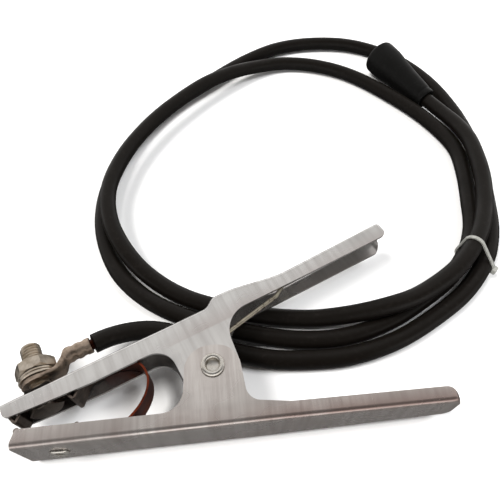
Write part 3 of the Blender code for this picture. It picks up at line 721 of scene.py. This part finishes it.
def cable_line(spacing):
    """The sheath's centre line, from just past the lug to inside the boot."""
    turn = Matrix.Rotation(REST_ANGLE, 3, "Z")
    start = turn @ (LUG_END + LUG_AXIS * LUG_TO_JACKET)
    route = [Vector(p) for p in CABLE_ROUTE]
    end = BOOT_REAR + BOOT_AXIS * JACKET_IN_BOOT
    return smooth_path([start] + route + [BOOT_REAR, end], spacing)


def make_cable():
    line = cable_line(4.0)
    curve = bpy.data.curves.new("cable", "CURVE")
    curve.dimensions = "3D"
    curve.bevel_depth = CABLE_R * MM
    curve.bevel_resolution = 10
    curve.use_fill_caps = True
    spline = curve.splines.new("POLY")
    spline.points.add(len(line) - 1)
    for slot, point in zip(spline.points, line):
        slot.co = (*to_row(point), 1.0)
    spline.use_smooth = True
    cable = link("cable", curve)
    dress(cable, UPPER, sheath_rubber("cable_sheath", 0.42, (0.0048, 0.0038, 0.0030)),
          "cable_rubber", "welding_cable")
    length = sum((to_row(b) - to_row(a)).length for a, b in zip(line, line[1:]))
    return cable, length, to_row(line[0])


def make_boot():
    """A tapered moulded sleeve with a rolled mouth and a stepped neck."""
    end = BOOT_LENGTH
    neck = [(6.0, 0.3), (6.3, 0.0), (7.4, 0.0), (7.8, 0.4), (8.0, 1.2), (8.05, 3.6),
            (7.75, 4.1), (7.75, 4.9), (8.1, 5.4)]
    body = [(8.6, 9.0), (9.2, 16.0), (9.9, 23.0), (10.7, 30.0), (11.5, 36.0), (12.3, 41.0),
            (12.8, 45.0), (13.0, 49.0)]
    mouth = [(13.0, end - 3.2), (12.8, end - 1.9), (12.3, end - 0.9), (11.5, end - 0.25),
             (10.6, end), (9.3, end), (8.8, end - 0.3), (8.6, end - 0.9)]
    bore = [(8.4, 44.0), (6.8, 43.0), (6.8, 15.0), (6.0, 13.0)]
    profile = neck + body + mouth + bore
    boot = stand(lathe("plug_sleeve", profile, BOOT_REAR, BOOT_FRONT - BOOT_REAR, 72, 50.0))
    return dress(boot, UPPER, sheath_rubber("boot_rubber", 0.50, (0.0030, 0.0029, 0.0027)),
                 "boot_rubber", "plug_boot")


def tie_centres():
    """Where the three passes cross the tie's plane, as (across, height)."""
    line = cable_line(2.0)
    found = []
    for a, b in zip(line, line[1:]):
        da, db = (a - TIE_FOOT).dot(TIE_ALONG), (b - TIE_FOOT).dot(TIE_ALONG)
        if da * db <= 0.0 and da != db and (a - TIE_FOOT).length < TIE_SEARCH_R:
            hit = a.lerp(b, da / (da - db))
            found.append(Vector(((hit - TIE_FOOT).dot(TIE_ACROSS), hit.z)))
    return found


def tie_place(across, height, along=0.0):
    """A place by its distance across the tie's plane, its height and how far past it."""
    return TIE_FOOT + TIE_ACROSS * across + Vector((0, 0, height)) + TIE_ALONG * along


def make_tie():
    """A nylon tie: a thin band pulled round the three passes, and its square head."""
    centres = tie_centres()
    steps = 120
    around = []
    for k in range(steps):
        ray = Vector((math.cos(math.tau * k / steps), math.sin(math.tau * k / steps)))
        around.append((max(centres, key=lambda c: c.dot(ray)), ray))
    clear = CABLE_R + TIE_SLACK
    thick, half = TIE_T, TIE_HALF_WIDTH
    section = [(0.0, -half), (0.0, half), (thick - 0.15, half), (thick, half - 0.25),
               (thick, 0.25 - half), (thick - 0.15, -half)]
    bm = bmesh.new()
    rings = []
    for out, along in section:
        ring = []
        for centre, ray in around:
            p = centre + ray * (clear + out)
            ring.append(bm.verts.new(tie_place(p.x, p.y, along)))
        rings.append(ring)
    bridge_rings(bm, rings, closed=True)
    band = stand(new_mesh("tie_band", bm, 40.0))
    nylon = natural_nylon()
    dress(band, UPPER, nylon, "nylon", "cable_tie")
    far = max(centres, key=lambda c: c.x)
    bm = bmesh.new()
    bmesh.ops.create_cube(bm, size=1.0)
    turn = Matrix((TIE_ACROSS, TIE_ALONG, (0, 0, 1))).transposed().to_4x4()
    grip = Matrix.Translation(tie_place(far.x + clear + 1.5, far.y))
    bm.transform(grip @ turn @ Matrix.Diagonal((*TIE_HEAD, 1.0)))
    head = stand(new_mesh("tie_head", bm, 30.0))
    soften(head, 0.5 * MM, 3)
    settle(head, 40.0)
    dress(head, UPPER, nylon, "nylon")
    return band, head


# Arms

def with_stations(path, stations):
    """The path with more points, where its straight runs pass the stations."""
    full = [path[0]]
    for a, b in zip(path, path[1:]):
        for x in stations:
            if a.x + 0.5 < x < b.x - 0.5:
                full.append(a.lerp(b, (x - a.x) / (b.x - a.x)))
        full.append(b)
    return full


def end_round(x, end, radius):
    """How far a rounded end has drawn in at x."""
    past = x - (end - radius)
    if past <= 0.0:
        return 0.0
    return radius - math.sqrt(max(0.0, radius ** 2 - past ** 2))


def ease(x, start, end):
    """A smooth step from 0 at the start to 1 at the end."""
    t = min(1.0, max(0.0, (x - start) / (end - start)))
    return t * t * (3 - 2 * t)


def channel(name, edge, web_at, side, mid, half_width):
    """A U channel folded from sheet, drawn from the free edge of its side plates."""
    bm = bmesh.new()
    rings = []
    arc = 8
    for x, y in edge:
        depth = side * (web_at(x) - y)
        bend = min(BEND, depth - GAP)
        half = half_width(x)
        ring = []
        for inset in (0.0, SHEET):
            radius = bend - inset
            wall = [(depth, half - inset)]
            for k in range(arc + 1):
                angle = math.pi / 2 * k / arc
                wall.append((bend - radius * math.sin(angle),
                             half - bend + radius * math.cos(angle)))
            wall += [(d, -z) for d, z in reversed(wall)]
            ring += wall if inset == 0.0 else wall[::-1]
        rings.append([bm.verts.new((x, web_at(x) - side * d, mid + z)) for d, z in ring])
    bridge_rings(bm, rings)
    count = len(rings[0])
    for ring in (rings[0], rings[-1]):
        for k in range(count // 2 - 1):
            bm.faces.new((ring[k], ring[k + 1], ring[count - 2 - k], ring[count - 1 - k]))
    return new_mesh(name, bm, 35.0)


def finish_arm(arm, turned, body, finish, node):
    """Cut the arm's holes, then round its cut edges."""
    settle(arm)
    soften(arm, CUT_EDGE, 3, 50.0)
    return dress(stand(settle(arm), turned), body, finish, "plated_steel", node)


def make_lower_arm(finish):
    corners = [(-88.2, -24.8, 0), (-86.6, -19.5, 1), (-14.6, -19.5, 10), (-12.8, 10.1, 12),
               (12.0, 10.1, 11.5), (14.9, -17.4, 7), (34.0, -20.1, 12),
               (LOWER_END - 0.1, -20.2, 6), (LOWER_END, -24.8, 0)]
    stations = [-60, -40, 60, 90, LOWER_END - 2.8, LOWER_END - 1.0]
    edge = with_stations(rounded(corners, 12), stations)

    def half_width(x):
        taper = max(0.0, (x - LOWER_TAPER_X) / (LOWER_END - LOWER_TAPER_X))
        width = LOWER_WIDTH + (LOWER_END_WIDTH - LOWER_WIDTH) * taper
        return width / 2 - end_round(x, LOWER_END, LOWER_CORNER_R)

    arm = channel("lower_channel", edge, lambda x: LOWER_WEB_Y, -1, LOWER_MID, half_width)
    cut(arm, rod("pivot_hole", HOLE_R, Vector((0, 0, -1)), Vector((0, 0, 35))))
    cut(arm, strap_rivet_hole(-30, -24))
    return finish_arm(arm, False, LOWER, finish, "lower_arm")


def make_upper_arm(finish):
    corners = [(-92.2, 27.2, 0), (-91.8, 22.6, 2.5), (-78.0, 21.4, 8), (-52.0, 19.8, 20),
               (-15.4, 19.8, 10.5), (-14.2, -11.5, 11), (11.6, -11.5, 11), (15.6, 21.4, 15),
               (60.0, 21.8, 20), (UPPER_END - 0.1, 22.8, 6), (UPPER_END, 29.8, 0)]
    stations = [*range(34, 58, 2), 90, UPPER_END - 2.8, UPPER_END - 0.9]
    edge = with_stations(rounded(corners, 12), stations)

    def web_at(x):
        hump = HUMP * (ease(x, *HUMP_RISE) - ease(x, *HUMP_FALL))
        spread = HANDLE_SPREAD * max(0.0, x - HANDLE_U) / (UPPER_END - HANDLE_U)
        return UPPER_WEB_V + hump + spread

    def half_width(x):
        return UPPER_WIDTH / 2 - end_round(x, UPPER_END, UPPER_CORNER_R)

    arm = channel("upper_channel", edge, web_at, 1, UPPER_MID, half_width)
    cut(arm, rod("pivot_hole", HOLE_R, Vector((0, 0, 8)), Vector((0, 0, 32))))
    cut(arm, bolt_hole(26, 32))
    return finish_arm(arm, True, UPPER, finish, "upper_arm")


# Pivot

def make_pivot(finish):
    """A rivet with a flat head below and a rolled rim round a dimple on top."""
    top = LOWER_BOTTOM + LOWER_WIDTH + GAP
    head = [(0.0, 0.0), (4.6, 0.0), (5.2, 0.15), (5.55, 0.6), (5.6, 1.2), (5.6, 1.7),
            (RIVET_R, 1.7)]
    rim = [(RIVET_R, top), (5.6, top), (5.7, top + 0.35), (5.55, top + 0.9), (5.1, top + 1.4),
           (4.5, top + 1.68), (3.95, top + 1.6), (3.5, top + 1.25), (3.1, top + 0.5)]
    dimple = [(2.9, top - 0.6), (2.8, top - 1.3), (2.2, top - 1.6), (0.0, top - 1.6)]
    rivet = lathe("pivot_rivet_shell", head + rim + dimple, Vector((0, 0, 0)), (0, 0, 1), 72, 45.0)
    return dress(stand(rivet), LOWER, finish, "zinc_hardware", "pivot_rivet")


def leg_points(arm_angle, side, height, web_inner):
    """A spring leg: straight off the coil, bent towards its arm's web, then along it."""
    tilt = side * LEG_TILT
    along = Vector((math.cos(tilt), math.sin(tilt)))
    root = Vector((-along.y, along.x)) * side * SPRING_R
    knee = root + along * LEG_LENGTH
    rest = side * (web_inner - WIRE_R - GAP)
    foot = Vector((knee.x + abs(rest - knee.y) / math.tan(FOOT_SLOPE), rest))
    corners = [(*root, 0.0), (*knee, 4), (*foot, 4), (foot.x + FOOT_LENGTH, foot.y, 0.0)]
    turn = Matrix.Rotation(arm_angle, 2)
    return [(turn @ p).to_3d() + Vector((0, 0, height)) for p in rounded(corners, 6)]


def make_spring(finish):
    """The spring's turns share out the hinge's angle between its two legs."""
    top_leg = leg_points(REST_ANGLE, 1, SPRING_HIGH, UPPER_WEB_V - SHEET)
    low_leg = leg_points(0.0, -1, SPRING_LOW, -LOWER_WEB_Y - SHEET)
    start = -LEG_TILT - math.pi / 2
    sweep_angle = REST_ANGLE + LEG_TILT + math.pi / 2 - start - math.tau * SPRING_TURNS
    count = 40 * SPRING_TURNS
    coil = []
    for k in range(1, count):
        angle = start + sweep_angle * k / count
        height = SPRING_LOW + (SPRING_HIGH - SPRING_LOW) * k / count
        coil.append(Vector((SPRING_R * math.cos(angle), SPRING_R * math.sin(angle), height)))
    spring = stand(sweep("spring", low_leg[::-1] + coil + top_leg, WIRE_R))
    dress(spring, None, finish, "spring_steel", "torsion_spring")
    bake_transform(spring)
    return spring


# Contacts and strap

def make_contact(name, node, body, profile, middle, width, hole, finish):
    """A folded contact strip across its jaw, with a hole for its fastener."""
    low = middle - width / 2
    piece = strip(name, rounded(profile, 6), CONTACT_T, low, low + width)
    cut(piece, hole)
    settle(piece, 30.0)
    soften(piece, 0.18, 2, 45.0)
    stand(settle(piece, 40.0), body == UPPER)
    return dress(piece, body, finish, "tinned_copper", node)


def make_contacts(finish):
    level = UPPER_WEB_V - SHEET - GAP - STRAP_T - GAP - CONTACT_T / 2
    profile = [(-90.0, 26.2, 0), (-90.2, 23.4, 1), (-88.4, 19.3, 0.7), (-85.8, 22.0, 0.8),
               (-85.4, level, 1), (-67.2, level, 1.5), (-62.4, 17.6, 0.7), (-55.0, level, 2),
               (-49.0, level, 0)]
    make_contact("upper_teeth", "upper_contact", UPPER, profile, UPPER_MID, CONTACT_WIDTH,
                 bolt_hole(20, 29), finish)
    level = LOWER_WEB_Y + SHEET + GAP + STRAP_T + GAP + CONTACT_T / 2
    profile = [(-87.0, -23.8, 0), (-88.9, -17.6, 0.7), (-80.0, level, 2), (-66.4, level, 1.5),
               (-61.6, -18.4, 0.7), (-56.0, level, 1), (-53.0, level, 0)]
    make_contact("lower_teeth", "lower_contact", LOWER, profile, LOWER_MID, LOWER_CONTACT_WIDTH,
                 strap_rivet_hole(-27, -20), finish)


def make_strap():
    """A copper band: flat under the bolt, looped back, and flat under the strap rivet."""
    turn = Matrix.Rotation(REST_ANGLE, 3, "Z")
    upper_level = UPPER_WEB_V - SHEET - GAP - STRAP_T / 2
    lower_level = LOWER_WEB_Y + SHEET + GAP + STRAP_T / 2
    bolted_end = [turn @ Vector((u, upper_level, 0.0)) for u in (-84.0, -66.0, -50.0, -46.0)]
    loop = [(-42.0, 9.4), (-35.0, 6.4), (-31.2, 0.6), (-31.0, -6.0), (-33.6, -12.4),
            (-38.4, -18.2), (-44.6, -22.8)]
    riveted_end = [(x, lower_level) for x in (-51.5, -58.0, -78.5)]
    route = bolted_end + [Vector((x, y, 0.0)) for x, y in loop + riveted_end]
    path = [p.to_2d() for p in smooth_path(route, 1.2)]
    low = UPPER_MID - STRAP_WIDTH / 2
    strap = strip("strap", path, STRAP_T, low, low + STRAP_WIDTH)
    cut(strap, rod("strap_bolt_hole", BOLT_HOLE_R, turn @ on_bolt(20), turn @ on_bolt(30)))
    cut(strap, strap_rivet_hole(-27, -22))
    settle(strap, 30.0)
    soften(strap, 0.16, 2, 50.0)
    stand(settle(strap, 40.0))
    dress(strap, None, oxidised_copper("strap_copper", 1.0), "bare_copper", "copper_strap")
    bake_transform(strap)
    return strap


def make_strap_rivet(finish):
    """A hollow rivet through the lower web, the strap and the lower contact."""
    top = SHEET + GAP + STRAP_T + GAP + CONTACT_T + GAP + GAP
    head = [(1.9, 0.4), (1.95, -0.6), (2.5, -1.0), (3.2, -1.1), (3.9, -0.9), (4.3, -0.4),
            (4.4, 0.0), (STRAP_RIVET_R, 0.0)]
    rim = [(STRAP_RIVET_R, top), (4.2, top), (4.15, top + 0.5), (3.8, top + 0.85),
           (3.2, top + 1.0), (2.5, top + 0.9), (2.0, top + 0.5), (1.9, top - 0.4)]
    rivet = lathe("strap_rivet_shell", head + rim, on_strap_rivet(LOWER_WEB_Y - GAP), WEB_NORMAL,
                  48, 45.0)
    return dress(stand(rivet), LOWER, finish, "zinc_hardware", "strap_rivet")


# Terminal stack

def hexagon(name, across_flats, height, start):
    """A hexagon with its corners turned off at both ends, as a nut's are."""
    slope = math.radians(30.0)
    corner = across_flats / math.sqrt(3.0)
    face = across_flats * 0.475
    bm = bmesh.new()
    rings = []
    for z in (0.0, height):
        rings.append([bm.verts.new((corner * math.cos(math.tau * k / 6),
                                    corner * math.sin(math.tau * k / 6), z)) for k in range(6)])
    bridge_rings(bm, rings, capped=True)
    bm.transform(axis_matrix(start, WEB_NORMAL))
    body = new_mesh(name, bm, 25.0)
    past = corner + 0.3
    drop = (past - face) * math.tan(slope)
    form = [(0.0, 0.0), (face, 0.0), (past, drop), (past, height - drop), (face, height),
            (0.0, height)]
    boolean(body, lathe(name + "_form", form, start, WEB_NORMAL, 96), "INTERSECT")
    return settle(body, 20.0)


def thread(name, radius, start, length):
    """A screw thread: a helical ridge that fades at both ends, on a solid core."""
    turns = length / THREAD_PITCH
    sides = 40
    rows = int(turns * sides)
    bm = bmesh.new()
    cross = [(0.0, 0.0), (0.36, 1.0), (0.50, 1.0), (0.86, 0.0)]
    lines = [[] for _ in cross]
    for i in range(rows + sides + 1):
        angle = math.tau * i / sides
        base = THREAD_PITCH * (i / sides - 1)
        for line, (along, up) in zip(lines, cross):
            z = min(max(base + along * THREAD_PITCH, 0.0), length)
            fade = min(1.0, max(0.0, (length - z) / 1.3), max(0.0, z + 0.4))
            r = radius - THREAD_DEPTH + THREAD_DEPTH * up * fade
            line.append(bm.verts.new((r * math.cos(angle), r * math.sin(angle), z)))
    for a, b in zip(lines, lines[1:]):
        for i in range(len(a) - 1):
            bm.faces.new((a[i], a[i + 1], b[i + 1], b[i]))
    top, bottom = lines[-1], lines[0]
    for i in range(len(top) - 1 - sides):
        bm.faces.new((top[i], top[i + 1], bottom[i + 1 + sides], bottom[i + sides]))
    bm.transform(axis_matrix(start, WEB_NORMAL))
    return new_mesh(name, bm, 40.0, recalculate=False)


def make_bolt(finish, head_finish):
    """An M10 bolt: its head inside the jaw, a plain shank and a threaded stud."""
    head_top = UPPER_WEB_V - SHEET - GAP - STRAP_T - GAP - CONTACT_T - GAP
    seat = on_bolt(head_top - HEAD_HEIGHT)
    head = hexagon("bolt_head", HEAD_AF, HEAD_HEIGHT, seat)
    soften(head, 0.15, 2, 25.0)
    stand(settle(head, 40.0), True)
    # The head's finish is the zinc darkened as painted shade, for the head inside the jaw.
    dress(head, UPPER, head_finish, "zinc_hardware", "jaw_bolt")
    length = BOLT_TIP_V - seat.y
    thread_from = LOCK_NUT_V[0] - 1.0 - seat.y
    root = BOLT_R - THREAD_DEPTH
    profile = [(0.0, 4.0), (BOLT_R, 4.0), (BOLT_R, thread_from), (root, thread_from + 0.6),
               (root, length - 0.8), (BOLT_R - 1.5, length - 0.1), (BOLT_R - 1.8, length),
               (0.0, length)]
    core = lathe("stud_core", profile, seat, WEB_NORMAL, 64, 30.0)
    dress(stand(core, True), UPPER, finish, "zinc_hardware")
    ridge = thread("stud_thread", BOLT_R, seat + Vector((0, thread_from, 0)),
                   length - thread_from - 0.5)
    dress(stand(ridge, True), UPPER, finish, "zinc_hardware")
    return head


def make_nut(name, span, finish, slot, node):
    start = on_bolt(span[0])
    height = span[1] - span[0]
    nut = hexagon(name, NUT_AF, height, start)
    mouth = BOLT_R + 0.9
    bore = BOLT_R + 0.12
    hole = [(0.0, -1.0), (mouth + 1.0, -1.0), (mouth, 0.0), (bore, 0.8), (bore, height - 0.8),
            (mouth, height), (mouth + 1.0, height + 1.0), (0.0, height + 1.0)]
    cut(nut, lathe(name + "_hole", hole, start, WEB_NORMAL))
    settle(nut, 20.0)
    soften(nut, 0.16, 2, 25.0)
    return dress(stand(settle(nut, 40.0), True), UPPER, finish, slot, node)


def make_flat_washer(finish):
    low, high = FLAT_WASHER_V
    inner, outer, thick = BOLT_HOLE_R, FLAT_WASHER_R, high - low
    edge = 0.25
    profile = [(inner, 0.0), (outer - edge, 0.0), (outer, edge), (outer, thick - edge),
               (outer - edge, thick), (inner + edge, thick), (inner, thick - edge)]
    washer = lathe("washer", profile, on_bolt(low), WEB_NORMAL, 72, 30.0)
    return dress(stand(washer, True), UPPER, finish, "zinc_hardware", "flat_washer")


def make_spring_washer(finish):
    """A split ring whose two ends stand a little apart along the bolt."""
    inner, outer = BOLT_HOLE_R, SPRING_WASHER_R
    edge = 0.2
    section = [(inner, 0.35), (outer - edge, 0.35), (outer, 0.35 + edge), (outer, 1.45 - edge),
               (outer - edge, 1.45), (inner, 1.45)]
    steps = 72
    split = math.radians(7.0)
    split_at = math.radians(200.0)
    bm = bmesh.new()
    rings = []
    for k in range(steps + 1):
        angle = split / 2 + (math.tau - split) * k / steps + split_at
        rise = 0.35 * (k / steps - 0.5)
        rings.append([bm.verts.new((r * math.cos(angle), r * math.sin(angle), z + rise))
                      for r, z in section])
    bridge_rings(bm, rings, capped=True)
    bm.transform(axis_matrix(on_bolt(SPRING_WASHER_V[0]), WEB_NORMAL))
    ring = new_mesh("lock_washer", bm, 30.0)
    return dress(stand(ring, True), UPPER, finish, "zinc_hardware", "spring_washer")


def superellipse(u, v, z, half_z, half_v, power):
    """A ring square to U: round at power 2, and squarer as the power grows."""
    sides = 48
    ring = []
    for k in range(sides):
        c, s = math.cos(math.tau * k / sides), math.sin(math.tau * k / sides)
        ring.append(Vector((u, v + math.copysign(abs(s) ** (2 / power), s) * half_v,
                            z + math.copysign(abs(c) ** (2 / power), c) * half_z)))
    return ring


def make_lug(finish):
    """A cable lug: a flat palm that gathers into a barrel with two crimps."""
    low, high = PALM_V
    middle = (low + high) / 2
    edge = 0.35
    rim = [(0.0, low), (PALM_R - edge, low), (PALM_R, low + edge), (PALM_R, high - edge),
           (PALM_R - edge, high), (0.0, high)]
    lug = lathe("lug", rim, on_bolt(0), WEB_NORMAL, 72)
    flat = (high - low) / 2 - 0.02
    neck = [(-77.0, middle, UPPER_MID, 7.7, flat, 5.0), (-67.6, middle, UPPER_MID, 7.5, flat, 5.0),
            (-66.2, middle + 0.4, UPPER_MID, 7.1, flat + 0.15, 4.0),
            (-64.6, middle + 1.7, 20.1, 6.3, 2.2, 3.0),
            (-62.8, middle + 3.8, 19.95, 5.3, 3.2, 2.4),
            (-61.3, LUG_START.y - 0.8, 19.8, 4.6, 3.9, 2.1)]
    crimps = [(0.0, 1.0), (0.17, 1.0), (0.24, 0.86), (0.34, 0.84), (0.41, 1.0), (0.56, 1.0),
              (0.63, 0.86), (0.73, 0.84), (0.80, 1.0), (0.97, 1.0), (1.0, 0.96)]
    barrel = []
    for along, squeeze in crimps:
        at = LUG_START.lerp(LUG_END, along)
        wide = LUG_R / math.sqrt(squeeze) * min(1.0, 0.2 + squeeze)
        barrel.append((*at, wide, LUG_R * squeeze, 2.0))
    bm = bmesh.new()
    rings = [[bm.verts.new(p) for p in superellipse(*s)] for s in neck + barrel]
    bridge_rings(bm, rings, capped=True)
    boolean(lug, new_mesh("lug_neck", bm, 50.0), "UNION")
    cut(lug, bolt_hole(30, 50))
    cut(lug, rod("lug_bore", LUG_BORE_R, LUG_START + LUG_AXIS, LUG_END + LUG_AXIS * 3))
    settle(lug, 40.0)
    return dress(stand(lug, True), UPPER, finish, "tinned_copper", "cable_lug")


def repaint(node, finish):
    """A CAD node that keeps its shape gets a finished material."""
    obj = frame["nodes"][node]
    for slot in obj.material_slots:
        slot.link = "OBJECT"
        slot.material = finish


def main():
    set_camera()
    set_light()
    set_floor()
    cable, length, start = make_cable()
    boot = make_boot()
    band, head = make_tie()
    zinc = hardware("zinc_plate", (0.74, 0.66, 0.56), (0.44, 0.37, 0.29), 0.36)
    bright = hardware("rivet_plate", (0.84, 0.81, 0.76), (0.60, 0.56, 0.50), 0.26)
    dark = hardware("black_steel", (0.115, 0.10, 0.09), (0.045, 0.038, 0.033), 0.42)
    tinned = hardware("tinned_copper", (0.55, 0.44, 0.35), (0.22, 0.165, 0.125), 0.38)
    # A darker copy of the zinc for the bolt head, which sits inside the jaw: painted shade.
    shaded_zinc = hardware("shade_painted_zinc", (0.34, 0.30, 0.26), (0.15, 0.125, 0.105), 0.42)
    # A darker copy of the tinned copper for the contacts inside the jaws: painted shade.
    teeth = hardware("shade_painted_copper", (0.30, 0.25, 0.215), (0.13, 0.10, 0.085), 0.38)
    wire = hardware("spring_wire", (0.62, 0.57, 0.46), (0.34, 0.30, 0.24), 0.3)
    # The lower plate's last colour is painted reflection: the dark band along the web's bend.
    lower_plate = plated_sheet("lower_plate", 0.0, (0.66, 0.62, 0.59), (0.49, 0.445, 0.42),
                               (0.34, 0.25, 0.225), PIVOT.y + (LOWER_WEB_Y + 1.0) * MM)
    upper_plate = plated_sheet("upper_plate", REST_ANGLE, (0.69, 0.68, 0.665), (0.56, 0.545, 0.53),
                               (0.50, 0.45, 0.43), 0.0)
    make_lower_arm(lower_plate)
    make_upper_arm(upper_plate)
    make_pivot(bright)
    make_spring(wire)
    make_contacts(teeth)
    make_strap()
    make_strap_rivet(bright)
    make_bolt(zinc, shaded_zinc)
    make_nut("lock_nut_shell", LOCK_NUT_V, dark, "dark_steel", "lock_nut")
    make_nut("terminal_nut_shell", NUT_V, zinc, "zinc_hardware", "terminal_nut")
    make_flat_washer(zinc)
    make_spring_washer(zinc)
    make_lug(tinned)
    repaint("pivot_spacer", zinc)
    repaint("pivot_bush", dark)
    repaint("plug_pin", hardware("plug_brass", (0.72, 0.50, 0.20), (0.45, 0.30, 0.11), 0.28))
    repaint("plug_screw", dark)
    strands = oxidised_copper("strand_copper", 0.12)
    repaint("conductor_lug_end", strands)
    repaint("conductor_plug_end", strands)


main()
